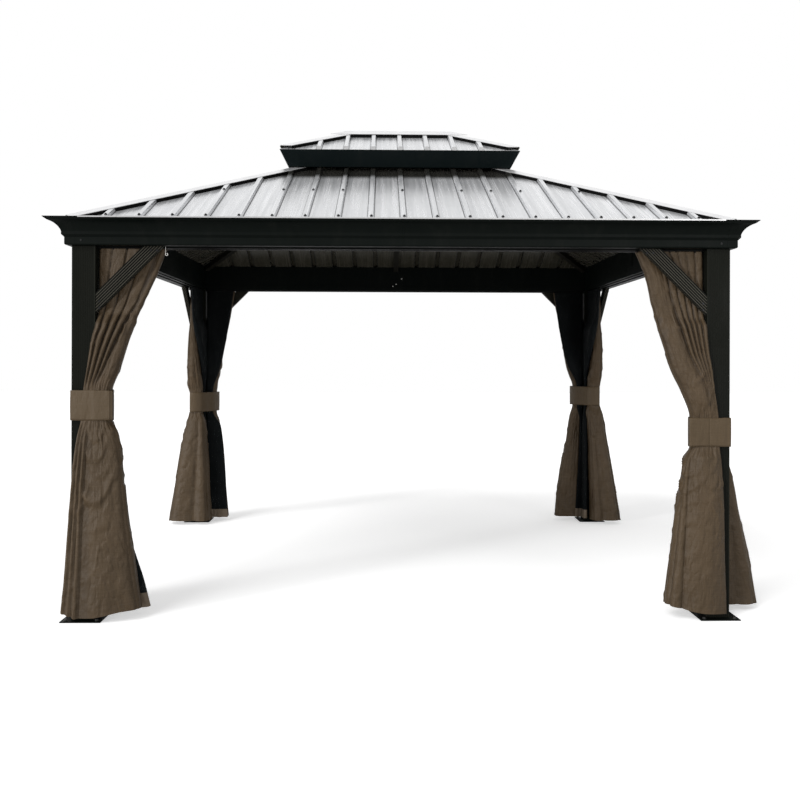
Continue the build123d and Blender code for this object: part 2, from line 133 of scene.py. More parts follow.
# powder grain: a fine height and a slow mottle, both from the object's own place
def makeCoatGrain():
    group, given, leave = newGroup("coatGrain", [
        ("Vector", "Vector", None), ("Grain Scale", "Float", 900.0), ("Mottle Scale", "Float", 3.0)],
        ("Height", "Mottle", "Dust"))
    dust = noiseAt(group, stretchedAt(group, given["Vector"], (1.0, 1.0, 0.18)), 14.0, 6.0, 0.65)
    linkAll(group, leave, {
        "Height": noiseAt(group, given["Vector"], given["Grain Scale"], 2.0),
        "Mottle": noiseAt(group, given["Vector"], given["Mottle Scale"], 5.0, 0.6),
        "Dust": rampAt(group, dust, 0.48, 0.8)})
    return group


# plain weave, with slubs and creases, from the cloth's own flat coordinates in metres
def makeWeave():
    group, given, leave = newGroup("plainWeave", [
        ("Vector", "Vector", None), ("Threads Per Metre", "Float", 900.0)],
        ("Height", "Slub", "Fade", "Crumple"))
    axes = axesOf(group, given["Vector"])
    turnsPer = timesAt(group, given["Threads Per Metre"], math.pi)
    threads = [mathAt(group, "SINE", timesAt(group, axes[axis], turnsPer)) for axis in "XY"]
    slubs = [noiseAt(group, stretchedAt(group, given["Vector"], stretch), 1.0, 2.0)
             for stretch in ((260.0, 9.0, 1.0), (9.0, 260.0, 1.0))]
    creases = []
    for scale, stretch, turn, sharp in ((9.0, 0.42, 0.5, 0.1), (24.0, 0.5, -0.7, 0.13)):
        drawn = stretchedAt(group, given["Vector"], (1.0, stretch, 1.0), turn)
        ridge = mathAt(group, "SUBTRACT", noiseAt(group, drawn, scale, 2.0, 0.45), 0.5)
        creases.append(rampAt(group, mathAt(group, "ABSOLUTE", ridge), 0.0, sharp))
    linkAll(group, leave, {
        "Height": mathAt(group, "ABSOLUTE", timesAt(group, *threads)),
        "Slub": timesAt(group, *slubs),
        "Fade": noiseAt(group, given["Vector"], 2.4, 4.0),
        "Crumple": mathAt(group, "ADD", creases[0], timesAt(group, creases[1], 0.5))})
    return group


# painted highlight: how near a place is to the middle of a flute, on the faces that have flutes, across a
# post or, leaning with the height, across a knee brace; the coat is made lighter there to stand in for the
# flutes' glint
def makeFluteHighlight():
    group, given, leave = newGroup("fluteHighlight", [
        ("Vector", "Vector", None), ("Normal", "Vector", None), ("Lean", "Float", 0.0),
        ("Across", "Float", 1.0), ("Middle X", "Float", 1.654), ("Middle Y", "Float", 1.354),
        ("Pitch", "Float", 0.0115)], ("Highlight",))
    place, face = axesOf(group, given["Vector"]), axesOf(group, given["Normal"])
    lean = timesAt(group, place["Z"], given["Lean"])
    highlights = []
    for axis, other in ("XY", "YX"):
        across = mathAt(group, "ADD", mathAt(group, "ABSOLUTE", place[axis]), lean)
        across = mathAt(group, "SUBTRACT", timesAt(group, across, given["Across"]), given["Middle " + axis])
        turn = timesAt(group, mathAt(group, "DIVIDE", across, given["Pitch"]), 2 * math.pi)
        near = rampAt(group, mathAt(group, "COSINE", turn), 0.35, 0.95)
        facing = mathAt(group, "GREATER_THAN", mathAt(group, "ABSOLUTE", face[other]), 0.7)
        highlights.append(timesAt(group, near, facing))
    linkAll(group, leave, {"Highlight": mathAt(group, "MAXIMUM", *highlights)})
    return group


coatGrain = makeCoatGrain()
plainWeave = makeWeave()
fluteHighlight = makeFluteHighlight()


def startMaterial(name, values):
    material = bpy.data.materials.new(name)
    material.use_nodes = True
    tree = material.node_tree
    shader = tree.nodes["Principled BSDF"]
    for label, value in values.items():
        shader.inputs[label].default_value = value
    return material, tree, shader, tree.nodes.new("ShaderNodeTexCoord").outputs


def mixColour(tree, factor, first, second):
    colours = [(*value, 1.0) if isinstance(value, tuple) else value for value in (first, second)]
    return makeNode(tree, "ShaderNodeMix", {0: factor, 6: colours[0], 7: colours[1]},
                    data_type="RGBA").outputs[2]


def bumpFrom(tree, height, strength, distance, under=None):
    inputs = {"Strength": strength, "Distance": distance, "Height": height}
    if under is not None:
        inputs["Normal"] = under
    return makeNode(tree, "ShaderNodeBump", inputs).outputs["Normal"]


# a powder-coated finish, with mottling, streaks of dust and a fine orange peel, and a painted highlight along
# any flutes
coatLook = {"dust": 0.1, "dustColour": (0.03, 0.029, 0.025), "mottled": (0.3, 0.7), "smoother": 0.06,
            "rougher": 0.07, "peel": (0.25, 0.0004)}


def coatMaterial(name, colour, worn, rough, shine=0.04, flutes=None):
    material, tree, shader, place = startMaterial(name, {"Specular IOR Level": shine})
    grain = groupAt(tree, coatGrain, {"Vector": place["Object"]})
    base = mixColour(tree, grain["Mottle"], colour, worn)
    base = mixColour(tree, timesAt(tree, grain["Dust"], coatLook["dust"]), base, coatLook["dustColour"])
    if flutes:
        facing = tree.nodes.new("ShaderNodeNewGeometry").outputs["True Normal"]
        # painted highlight: a lighter colour along the middle of each flute
        highlight = groupAt(tree, fluteHighlight, dict(flutes["across"], Vector=place["Object"], Normal=facing))
        base = mixColour(tree, timesAt(tree, highlight["Highlight"], flutes["share"]), base, flutes["colour"])
    linkAll(tree, shader, {
        "Base Color": base, "Normal": bumpFrom(tree, grain["Height"], *coatLook["peel"]),
        "Roughness": rampAt(tree, grain["Mottle"], *coatLook["mottled"], rough - coatLook["smoother"],
                            rough + coatLook["rougher"])})
    return material


# coated roof steel: brushed streaks down the slope on a pale metallic top, its paleness partly the coat's
# sheen and partly painted reflection of a bright sky; plain brown-grey underneath; where ribs are given,
# painted shade under the upper roof's skirt and along the feet of the ribs
def roofMaterial(name, streakScale, look, ribAxis=None):
    material, tree, shader, place = startMaterial(name, {"Specular IOR Level": 0.2})
    streak = noiseAt(tree, stretchedAt(tree, place["Object"], streakScale), 1.0, 6.0, 0.7)
    grain = groupAt(tree, coatGrain, {"Vector": place["Object"]})
    facing = axesOf(tree, tree.nodes.new("ShaderNodeNewGeometry").outputs["Normal"])
    upper = rampAt(tree, facing["Z"], *look["facesUp"])
    streaked = rampAt(tree, streak, *look["streaked"])
    base = mixColour(tree, upper, mixColour(tree, streaked, look["under"], look["underStreak"]),
                     mixColour(tree, streaked, look["top"], look["topStreak"]))
    base = mixColour(tree, timesAt(tree, grain["Dust"], look["dust"]), base, look["dustColour"])
    if ribAxis:
        spot = axesOf(tree, place["Object"])
        # painted shade: the tops of the sheets turn dark in a band just under the upper roof's skirt
        paintedSkirtShade = timesAt(tree, rampAt(tree, spot["Z"], *look["skirtShadeHeights"]),
                            mathAt(tree, "LESS_THAN", spot["Z"], look["skirtShadeTop"]))
        base = mixColour(tree, timesAt(tree, paintedSkirtShade, upper), base, look["paintedSkirtShade"])
        # painted shade: a dark line along both feet of every rib, on the tops and the undersides of the
        # sheets
        turns = mathAt(tree, "DIVIDE", spot[ribAxis], look["pitch"])
        whole = mathAt(tree, "SUBTRACT", turns, mathAt(tree, "ROUND", turns))
        fromRib = timesAt(tree, mathAt(tree, "ABSOLUTE", whole), look["pitch"])
        offFoot = mathAt(tree, "ABSOLUTE", mathAt(tree, "SUBTRACT", fromRib, look["footAt"]))
        foot = rampAt(tree, offFoot, *look["ribFootShadeLine"], 1.0, 0.0)
        base = mixColour(tree, timesAt(tree, foot, look["ribFootShadeShare"]), base, look["foot"])
    linkAll(tree, shader, {
        "Base Color": base, "Normal": bumpFrom(tree, streak, *look["brushed"]),
        "Roughness": rampAt(tree, streak, *look["worn"], *look["rough"]),
        "Metallic": timesAt(tree, upper, look["metal"])})
    return material


# woven polyester, with painted shade darkening the hollows of its folds, and a hem stitched along its lower
# edge
fullTurn = 6.283
clothLook = {"Roughness": 0.5, "Sheen Weight": 0.03, "Sheen Roughness": 0.4, "Specular IOR Level": 0.2}
# colour and share of the painted shade in the hollows of the folds
paintedFoldShade = {"share": 0.85, "colour": (0.011, 0.0065, 0.003)}
weaveLook = {"slubbed": (0.12, 0.4), "slubShare": 0.35, "faded": (0.3, 0.7), "threads": (0.35, 0.0004),
             "slubs": (0.25, 0.0006), "crumple": 0.5, "seamHalf": 0.0022, "seamShare": 0.45,
             "seam": (-0.6, 0.0012), "stitched": (-0.2, 0.3), "stitchShare": 0.6}


def clothMaterial(name, colours, crumple=0.006, hems=None):
    material, tree, shader, place = startMaterial(name, clothLook)
    weave = groupAt(tree, plainWeave, {"Vector": place["UV"]})
    slub = rampAt(tree, weave["Slub"], *weaveLook["slubbed"])
    base = mixColour(tree, rampAt(tree, weave["Fade"], *weaveLook["faded"]), colours[0], colours[1])
    base = mixColour(tree, timesAt(tree, slub, weaveLook["slubShare"]), base, colours[2])
    # painted shade: the colour darkens with the depth of each place in the hollow of a fold
    hollow = makeNode(tree, "ShaderNodeAttribute", attribute_name="hollow").outputs["Fac"]
    base = mixColour(tree, timesAt(tree, hollow, paintedFoldShade["share"]), base, paintedFoldShade["colour"])
    normal = bumpFrom(tree, weave["Height"], *weaveLook["threads"])
    normal = bumpFrom(tree, slub, *weaveLook["slubs"], normal)
    normal = bumpFrom(tree, weave["Crumple"], weaveLook["crumple"], crumple, normal)
    if hems:
        axes = axesOf(tree, place["UV"])
        ridge = mathAt(tree, "ABSOLUTE", mathAt(tree, "SUBTRACT", axes["Y"], hems["height"]))
        seam = rampAt(tree, ridge, 0.0, weaveLook["seamHalf"], 1.0, 0.0)
        dash = mathAt(tree, "SINE", timesAt(tree, axes["X"], hems["stitches"] * fullTurn))
        stitch = timesAt(tree, seam, rampAt(tree, dash, *weaveLook["stitched"]))
        base = mixColour(tree, timesAt(tree, seam, weaveLook["seamShare"]), base, hems["shade"])
        base = mixColour(tree, timesAt(tree, stitch, weaveLook["stitchShare"]), base, hems["thread"])
        normal = bumpFrom(tree, seam, *weaveLook["seam"], normal)
    linkAll(tree, shader, {"Base Color": base, "Normal": normal})
    return material


# open insect mesh: a square grid of threads, seen through between them
def nettingMaterial(name, look):
    material, tree, shader, place = startMaterial(name, {"Roughness": 0.7, "Specular IOR Level": 0.08})
    axes = axesOf(tree, place["UV"])
    lines = []
    for axis in "XY":
        wave = mathAt(tree, "SINE", timesAt(tree, axes[axis], look["meshes"] * fullTurn))
        lines.append(rampAt(tree, wave, look["openFrom"], look["openFrom"] + look["soft"], 1.0, 0.0))
    threads = mathAt(tree, "MAXIMUM", *lines)
    cloudy = rampAt(tree, noiseAt(tree, place["UV"], look["clouds"]), *look["cloudy"])
    linkAll(tree, shader, {
        "Base Color": mixColour(tree, cloudy, look["dark"], look["pale"]),
        "Alpha": rampAt(tree, threads, 0.0, 1.0, look["between"], 1.0),
        "Normal": bumpFrom(tree, threads, *look["relief"])})
    return material


# top and topStreak, here and on the caps: pale colours that are partly painted reflection of a bright sky on
# the tops of the sheets and caps
sheetLook = {
    "top": (0.6, 0.61, 0.625), "topStreak": (0.8, 0.805, 0.82), "under": (0.03, 0.028, 0.02),
    "underStreak": (0.044, 0.04, 0.03), "dust": 0.1, "dustColour": (0.2, 0.19, 0.17), "rough": (0.19, 0.31),
    "metal": 0.6, "skirtShadeHeights": (2.462, 2.51), "skirtShadeTop": 2.64, "paintedSkirtShade": (0.04, 0.039, 0.035),
    "pitch": 0.1714, "footAt": 0.0182, "ribFootShadeLine": (0.0012, 0.0034), "ribFootShadeShare": 0.8,
    "foot": (0.02, 0.02, 0.019), "facesUp": (-0.05, 0.05), "streaked": (0.32, 0.72), "worn": (0.25, 0.75),
    "brushed": (0.16, 0.0008)}
capLook = dict(sheetLook, top=(0.74, 0.74, 0.75), topStreak=(0.84, 0.84, 0.85), rough=(0.24, 0.36),
               dust=0.05, metal=0.75)

# each coat's name, colour, worn colour, roughness and, where it differs, shine and the painted highlight of
# its flutes
coats = {
    "frame": ("charcoalCoat", (0.0024, 0.0037, 0.0031), (0.0045, 0.0058, 0.005), 0.42),
    "post": ("postCoat", (0.0036, 0.0041, 0.003), (0.0062, 0.0067, 0.005), 0.42, 0.04, {
        "across": {}, "share": 0.35, "colour": (0.024, 0.025, 0.019)}),
    "brace": ("braceCoat", (0.002, 0.0023, 0.0018), (0.0035, 0.0038, 0.003), 0.42, 0.04, {
        "across": {"Lean": 1.0, "Across": 0.70711, "Middle X": 2.29285, "Middle Y": 2.08075},
        "share": 0.9, "colour": (0.085, 0.079, 0.062)}),
    "rafter": ("rafterCoat", (0.009, 0.0085, 0.0068), (0.014, 0.013, 0.01), 0.5),
    "skirt": ("skirtCoat", (0.0022, 0.0044, 0.0048), (0.0045, 0.0068, 0.007), 0.4),
    "track": ("trackCoat", (0.003, 0.003, 0.003), (0.006, 0.006, 0.006), 0.38),
    "closure": ("closureFoam", (0.002, 0.002, 0.002), (0.004, 0.004, 0.004), 0.8, 0.03),
    "screw": ("screwCoat", (0.004, 0.004, 0.005), (0.009, 0.009, 0.009), 0.4, 0.2),
    "bolt": ("boltCoat", (0.012, 0.012, 0.011), (0.03, 0.029, 0.027), 0.4, 0.3),
    "hook": ("hookZinc", (0.5, 0.49, 0.46), (0.7, 0.69, 0.66), 0.35, 0.6)}
finishes = {name: coatMaterial(*coat) for name, coat in coats.items()}
finishes.update({
    "roofAlongY": roofMaterial("roofSteelFrontBack", (42.0, 1.1, 1.1), sheetLook, "X"),
    "roofAlongX": roofMaterial("roofSteelSides", (1.1, 42.0, 1.1), sheetLook, "Y"),
    "trim": roofMaterial("capSteel", (9.0, 9.0, 9.0), capLook),
    "curtain": clothMaterial(
        "curtainCloth", ((0.042, 0.027, 0.013), (0.061, 0.04, 0.021), (0.088, 0.06, 0.034)),
        hems={"height": 0.04, "stitches": 330.0, "shade": (0.03, 0.02, 0.012), "thread": (0.1, 0.073, 0.05)}),
    "band": clothMaterial(
        "bandCloth", ((0.054, 0.036, 0.018), (0.069, 0.047, 0.025), (0.089, 0.062, 0.035)), crumple=0.0022,
        hems={"height": 0.008, "stitches": 330.0, "shade": (0.035, 0.024, 0.015),
              "thread": (0.11, 0.08, 0.055)}),
    "netting": nettingMaterial("nettingMesh", {
        "meshes": 420.0, "openFrom": 0.1, "soft": 0.35, "between": 0.5, "dark": (0.002, 0.003, 0.0034),
        "pale": (0.0045, 0.0055, 0.006), "clouds": 9.0, "cloudy": (0.35, 0.7), "relief": (0.4, 0.0003)}),
    "nettingHem": clothMaterial(
        "nettingHemTape", ((0.11, 0.083, 0.057), (0.14, 0.107, 0.076), (0.17, 0.133, 0.098)))})
nodeFinish = {"curtain_tracks": "track", "vent_skirt": "skirt", "lower_hip_caps": "trim",
              "upper_hip_caps": "trim", "ridge_cap": "trim", "hip_rafters": "rafter",
              "mid_rafters": "rafter", "upper_rafters": "rafter"}


def finishOf(node):
    if "_roof_" in node:
        return "roofAlongY" if node.endswith(("front", "back")) else "roofAlongX"
    if node.startswith(("post_", "brace_")):
        return node.split("_")[0]
    return nodeFinish.get(node, "frame")


for nodeName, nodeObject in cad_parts.items():
    wanted = finishes[finishOf(nodeName)]
    if not nodeObject.material_slots:
        nodeObject.data.materials.append(wanted)
    for place in nodeObject.material_slots:
        place.material = wanted
print("finishes made")


# sizes shared with the frame, in millimetres
frameSizes = {"faceX": 1714.0, "faceY": 1414.0, "tipX": 1825.0, "tipY": 1525.0,
              "pitch": math.radians(25.1), "base": 2027.08, "ribPitch": 171.4}
slope = math.tan(frameSizes["pitch"])
cornerSigns = {"front_left": (1, 1), "front_right": (-1, 1), "back_left": (1, -1), "back_right": (-1, -1)}


# from a corner's own measure, in from the post's outer faces, to the object's place in metres
def cornerPlace(corner, inX, inY, height):
    signX, signY = cornerSigns[corner]
    x = signX * (inX - frameSizes["faceX"]) / 1000
    y = signY * (inY - frameSizes["faceY"]) / 1000
    return x, y, height / 1000


def addPiece(name, mesh):
    piece = bpy.data.objects.new(name, mesh)
    scene.collection.objects.link(piece)
    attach(piece, "root")
    return piece


def newPiece(name, vertices, faces, finishNames, smooth=True, cloth=None):
    mesh = bpy.data.meshes.new(name)
    mesh.from_pydata(vertices, [], faces)
    for finish in finishNames:
        mesh.materials.append(finishes[finish])
    mesh.polygons.foreach_set("use_smooth", [smooth] * len(mesh.polygons))
    if cloth:
        layer = mesh.uv_layers.new(name="flatCut")
        corners = np.empty(len(mesh.loops), dtype=np.int32)
        mesh.loops.foreach_get("vertex_index", corners)
        layer.data.foreach_set("uv", np.asarray(cloth["flatPlaces"], dtype=np.float32)[corners].ravel())
        if "kinds" in cloth:
            mesh.polygons.foreach_set("material_index", cloth["kinds"])
            # the painted shade of the fold hollows, kept as a point attribute
            mesh.attributes.new("hollow", "FLOAT", "POINT").data.foreach_set(
                "value", np.asarray(cloth["hollows"], dtype=np.float32).ravel())
    mesh.validate()
    mesh.update()
    return addPiece(name, mesh)


# the faces of a grid of vertices, given row by row, turned outward for a corner
def gridFaces(rows, columns, outward):
    faces = []
    for row in range(rows - 1):
        for column in range(columns - 1):
            start = row * columns + column
            face = (start, start + 1, start + columns + 1, start + columns)
            faces.append(face if outward else face[::-1])
    return faces


def isMirrored(corner):
    signX, signY = cornerSigns[corner]
    return signX * signY > 0


# smooth values between key heights, never past the keys on either side
def between(keys, heights):
    keys = np.array(sorted(keys, key=lambda row: row[0]), dtype=float)
    x, table = keys[:, 0], keys[:, 1:]
    out = np.empty((len(heights), table.shape[1]))
    step = np.diff(x)
    for column in range(table.shape[1]):
        y = table[:, column]
        rise = np.diff(y) / step
        lean = np.zeros(len(x))
        for k in range(1, len(x) - 1):
            if rise[k - 1] * rise[k] > 0:
                first, last = 2 * step[k] + step[k - 1], step[k] + 2 * step[k - 1]
                lean[k] = (first + last) / (first / rise[k - 1] + last / rise[k])
        lean[0], lean[-1] = rise[0], rise[-1]
        at = np.clip(np.searchsorted(x, heights) - 1, 0, len(step) - 1)
        t = np.clip((heights - x[at]) / step[at], 0, 1)
        out[:, column] = ((1 + 2 * t) * (1 - t) ** 2 * y[at] + t * (1 - t) ** 2 * step[at] * lean[at]
                          + t * t * (3 - 2 * t) * y[at + 1] + t * t * (t - 1) * step[at] * lean[at + 1])
    return out


def ease(value):
    value = np.clip(value, 0, 1)
    return value * value * (3 - 2 * value)


# a path through corner points, each rounded over its own reach, and where the corners fall on it
def roundedLine(points, reaches):
    dense, marks = [np.array(points[0], float)], [0]
    for k in range(1, len(points) - 1):
        before, here, after = (np.array(points[j], float) for j in (k - 1, k, k + 1))
        back, onward = before - here, after - here
        backLength, onLength = np.linalg.norm(back), np.linalg.norm(onward)
        reach = min(reaches[k], backLength * 0.48, onLength * 0.48)
        t = np.linspace(0, 1, 13)[:, None]
        dense.extend((1 - t) ** 2 * (here + back / backLength * reach) + 2 * t * (1 - t) * here
                     + t * t * (here + onward / onLength * reach))
        marks.append(len(dense) - 7)
    dense.append(np.array(points[-1], float))
    marks.append(len(dense) - 1)
    dense = np.array(dense)
    run = spanOf(dense)
    return dense, run, run[marks]


# rounded folds, with a crease at each share of the width in valleys and a depth for each fold
def foldShape(share, valleys, depths):
    valleys, depths = np.asarray(valleys), np.asarray(depths)
    at = np.clip(np.searchsorted(valleys, share, side="right") - 1, 0, len(valleys) - 2)
    width = np.maximum(valleys[at + 1] - valleys[at], 1e-4)
    inside = np.clip((share - valleys[at]) / width, 0, 1)
    lean = 0.72 + 0.5 * np.abs(np.sin(2.9 * at + 1.7))
    return np.sin(np.pi * inside ** lean) ** 0.72 * width * depths[at]


# positions of the creases between key heights
def creasesAt(keys, height):
    heights = [row[0] for row in keys]
    return np.array([np.interp(height, heights, column) for column in zip(*(row[1] for row in keys))])


def gathersOf(count):
    widths = 1 + 0.45 * np.sin(np.arange(count) * 2.4)
    return np.concatenate([[0], np.cumsum(widths)]) / np.sum(widths)


def gathered(share, count):
    return foldShape(share, evenGathers[count], np.ones(count)) * count


evenGathers = {count: gathersOf(count) for count in (11, 17)}
clothCuts = {
    "curtain": {"columns": (22, 62, 18, 22), "pleats": 26, "pleatColumns": 3, "rows": (74, 10, 62),
                "margin": 3.0},
    "netting": {"columns": (10, 30, 10, 14), "pleats": 54, "pleatColumns": 2, "rows": (40, 6, 34),
                "margin": 0.9}}
# the lengths over which each kind of fold grows or fades, in millimetres, and the height that
# the gathers of the heading start from
foldReach = {"above": 90.0, "below": 110.0, "headingFrom": 1430.0, "heading": 480.0, "gatherAbove": 55.0,
             "gatherAt": 18.0, "gatherBelow": 46.0, "swagOver": 34.0, "swagUnder": 11.0, "edge": 160.0,
             "nearBand": 300.0, "rough": 60.0, "hem": 420.0}
clothShape = {"gatherInBand": 0.35, "roughInBand": 0.12, "innerInBand": 0.3, "wideTurn": 60.0,
              "turnReach": 40.0, "edgeDepths": (0.2, 0.36), "inner": (0, 0.16, 0.3, 0.48, 0.62, 0.82, 1.0),
              "hollow": 15.0, "hollowSpan": 8, "hollowPower": 1.2, "hollowBelow": 0.35,
              "pleatSetBack": 10.0, "leastPleat": 9.0}


# how far the outer layer stands off its path at one height
def outerSwell(height, share, width, folds):
    low, high = folds["band"]
    below, above = low - height, height - high
    gather = folds["gather"]
    if above > 0:
        deep = float(ease(above / foldReach["above"]))
        swell = foldShape(share, creasesAt(folds["above"], height), folds["aboveDepths"]) * width * deep
        heading = float(ease((height - foldReach["headingFrom"]) / foldReach["heading"]))
        swell += gathered(share, 17) * (folds["heading"] * heading)
        gather *= math.exp(-above / foldReach["gatherAbove"])
    elif below > 0:
        deep = float(ease(below / foldReach["below"]))
        swell = foldShape(share, creasesAt(folds["below"], height), folds["belowDepths"]) * width * deep
        gather *= math.exp(-((below - foldReach["gatherAt"]) / foldReach["gatherBelow"]) ** 2)
        for sagAt, sagDeep, sagWidth, middle, lift in folds["swags"]:
            fall = below - sagAt - sagDeep * (1 - ((share - middle) / sagWidth) ** 2)
            fade = np.where(fall < 0, foldReach["swagOver"], foldReach["swagUnder"])
            inside = np.clip(1 - ((share - middle) / (sagWidth * 1.25)) ** 2, 0, 1)
            swell += lift * np.exp(-(fall / fade) ** 2) * inside
    else:
        swell = np.zeros(len(share))
        gather *= clothShape["gatherInBand"]
    return swell + gathered(share, 11) * gather


# lengths along and up of the waves, the creases and the patches of creases, in millimetres
crumpleSizes = {"wave": (150.0, 380.0), "crease": (62.0, 88.0), "patch": (120.0, 150.0), "bent": 1.4,
                "lift": 0.3, "cover": 0.25, "narrow": 4.0, "sharp": 1.5, "least": 0.45, "nearBand": 0.75}


# uneven cloth: broad waves, and sharp creases that are stronger near the band
def crumpledAt(height, places, folds, nearBand):
    sizes = crumpleSizes
    seed = float(folds["seed"])
    strength = sizes["least"] + sizes["nearBand"] * nearBand

    def noiseOf(kind, along, up, bend, shift):
        wide, high = sizes[kind]
        return noise.noise(Vector((along / wide + bend, up / high, seed + shift)))

    rough = np.empty(len(places))
    for k, place in enumerate(places):
        broad = noiseOf("wave", place, height, 0, 0)
        sharp = noiseOf("crease", place, height + folds["slant"] * place, sizes["bent"] * broad, 7.3)
        patch = noiseOf("patch", place, height, 0, 3.1) + sizes["cover"]
        crease = max(0.0, 1 - abs(sharp) * sizes["narrow"]) ** sizes["sharp"] * max(0.0, patch)
        rough[k] = folds["broad"] * (broad + sizes["lift"]) + folds["crease"] * crease * strength
    return rough


# how far along a line of points each of them is
def spanOf(line):
    return np.concatenate([[0], np.cumsum(np.hypot(*np.diff(line, axis=0).T))])


# The cloth across one height: the outer layer, the turn at its free edge and the inner layer,
# then pleats between the two that take up the rest of the flat width.
def clothLine(height, row, foot, folds, cut, flatWidth):
    startA, startC, bendA, bendC, edgeA, outC, inC, endA = row
    low, high = folds["band"]
    below, above = low - height, height - high
    tied = below <= 0 and above <= 0
    corners = [(startA, startC), (bendA, bendC), (edgeA, outC), (edgeA, inC), (endA, inC)]
    turnReach = min(abs(inC - outC) * 0.5, clothShape["turnReach"])
    dense, run, marks = roundedLine(corners, [0, folds["bendReach"], turnReach, turnReach, 0])
    places = np.concatenate([
        np.linspace(marks[k], marks[k + 1], cut["columns"][k] + 1)[(k > 0):] for k in range(4)])
    line = np.stack([np.interp(places, run, dense[:, 0]), np.interp(places, run, dense[:, 1])], axis=1)
    ahead = np.gradient(line, axis=0)
    ahead /= np.maximum(np.hypot(*ahead.T), 1e-6)[:, None]
    outward = np.stack([ahead[:, 1], -ahead[:, 0]], axis=1)
    outer = places <= marks[2] + 1e-6
    width, turnWidth, innerWidth = marks[2], marks[3] - marks[2], marks[4] - marks[3]
    turned = np.clip((places - marks[2]) / max(turnWidth, 1e-6), 0, 1)
    inner = np.clip((places - marks[3]) / max(innerWidth, 1e-6), 0, 1)
    swell = np.where(outer, outerSwell(height, np.clip(places / width, 0, 1), width, folds), 0.0)
    if turnWidth > clothShape["wideTurn"] and not tied:
        first, last = folds["seam"]
        seam = first + (last - first) * float(ease(below / max(low - foot, 1.0)))
        edgeFold = foldShape(turned, (0, seam, 1), clothShape["edgeDepths"]) * turnWidth
        edgeFold = edgeFold * float(ease(max(below, above) / foldReach["edge"]))
        swell += np.where(outer | (inner > 0), 0.0, edgeFold)
    innerFold = foldShape(inner, clothShape["inner"], np.ones(6)) * innerWidth * folds["innerDeep"]
    swell += np.where(inner > 0, innerFold * (clothShape["innerInBand"] if tied else 1.0), 0.0)
    nearBand = math.exp(-(max(below, above, 0.0) / foldReach["nearBand"]) ** 2)
    least = clothShape["roughInBand"]
    share = least if tied else min(1.0, max(below, above) / foldReach["rough"] + least)
    swell += crumpledAt(height, places, folds, nearBand) * share
    most = folds["most"] if height < folds["braceFoot"] else folds["underBrace"]
    swell = most * np.tanh(np.clip(swell, -1.0, None) / most)
    line = line + outward * swell[:, None]

    # painted shade: how far each place lies below the highest swell near it, fainter below the band and none
    # on the pleats, for darkening the cloth in the hollows of its folds
    span = clothShape["hollowSpan"]
    around = np.lib.stride_tricks.sliding_window_view(np.pad(swell, span, "edge"), 2 * span + 1)
    hollow = np.clip((around.max(axis=1) - swell) / clothShape["hollow"], 0, 1) ** clothShape["hollowPower"]
    hollow = hollow * outer * (clothShape["hollowBelow"] if below > 0 else 1.0)

    pleats = cut["pleats"]
    zig = np.linspace(0, pleats, pleats * cut["pleatColumns"] + 1)[1:]
    pleatA = endA + (edgeA - clothShape["pleatSetBack"] - endA) * zig / pleats
    roof = inC - cut["margin"]
    floor = np.interp(pleatA, [startA, bendA, edgeA], [startC, bendC, outC]) + cut["margin"]
    left = max(flatWidth * 1000 - spanOf(line)[-1], 0.0) / pleats
    step = abs(pleatA[-1] - pleatA[0]) / pleats
    deep = math.sqrt(max(left ** 2 - step ** 2, clothShape["leastPleat"]))
    pleatC = roof - np.minimum(np.maximum(roof - floor, 0.5), deep) * (0.5 - 0.5 * np.cos(np.pi * zig))
    line = np.concatenate([line, np.stack([pleatA, pleatC], axis=1)])
    return line, np.concatenate([hollow, np.zeros(len(zig))])


# Hangs one sheet along its track. Rows give the height, the outer layer's start and bend, its
# free edge with the places across of the outer and the inner layer there, and where the inner
# layer ends.
def hangCloth(kind, part, corner, rows, folds, hem=None):
    cut, flat = clothCuts[kind], flatCurtain[part]
    low, high = folds["band"]
    top, foot = max(row[0] for row in rows), min(row[0] for row in rows)
    heights = np.concatenate([
        np.linspace(foot, low, cut["rows"][0]), np.linspace(low, high, cut["rows"][1])[1:],
        np.linspace(high, top, cut["rows"][2])[1:]])
    lines, hollows = zip(*(clothLine(height, row, foot, folds, cut, flat[0])
                           for height, row in zip(heights, between(rows, heights))))
    count = len(lines[0])
    flatAcross = np.mean([spanOf(line) for line in lines], axis=0) / 1000
    hemShare = np.clip(np.arange(count) / sum(cut["columns"][:2]), 0, 1)
    lift = np.interp(hemShare, *folds["hemLift"])
    lift[sum(cut["columns"]) + 1:] = folds["hemLift"][1][-1]
    vertices, flatPlaces = [], []
    for height, line in zip(heights, lines):
        fade = max(0.0, 1 - (height - foot) / foldReach["hem"]) ** 1.5
        for column, (along, across) in enumerate(line):
            inX, inY = (along, across) if part == "face" else (across, along)
            vertices.append(cornerPlace(corner, inX, inY, height + lift[column] * fade))
            flatPlaces.append((flatAcross[column], (height - foot) / 1000))
    kinds = [int(bool(hem) and height - foot < hem["height"]) for height in heights[:-1]]
    piece = newPiece(
        f"{kind}_cloth_{part}_{corner}", vertices,
        gridFaces(len(heights), count, isMirrored(corner) == (part == "face")),
        [kind] + ([hem["finish"]] if hem else []),
        cloth={"flatPlaces": flatPlaces, "kinds": np.repeat(kinds, count - 1).tolist(), "hollows": hollows})
    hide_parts(f"{kind}_{corner}")


bands = {"front_left": (1035.0, 1190.0), "front_right": (903.0, 1052.0),
         "back_left": (922.0, 1081.0), "back_right": (980.0, 1136.0)}

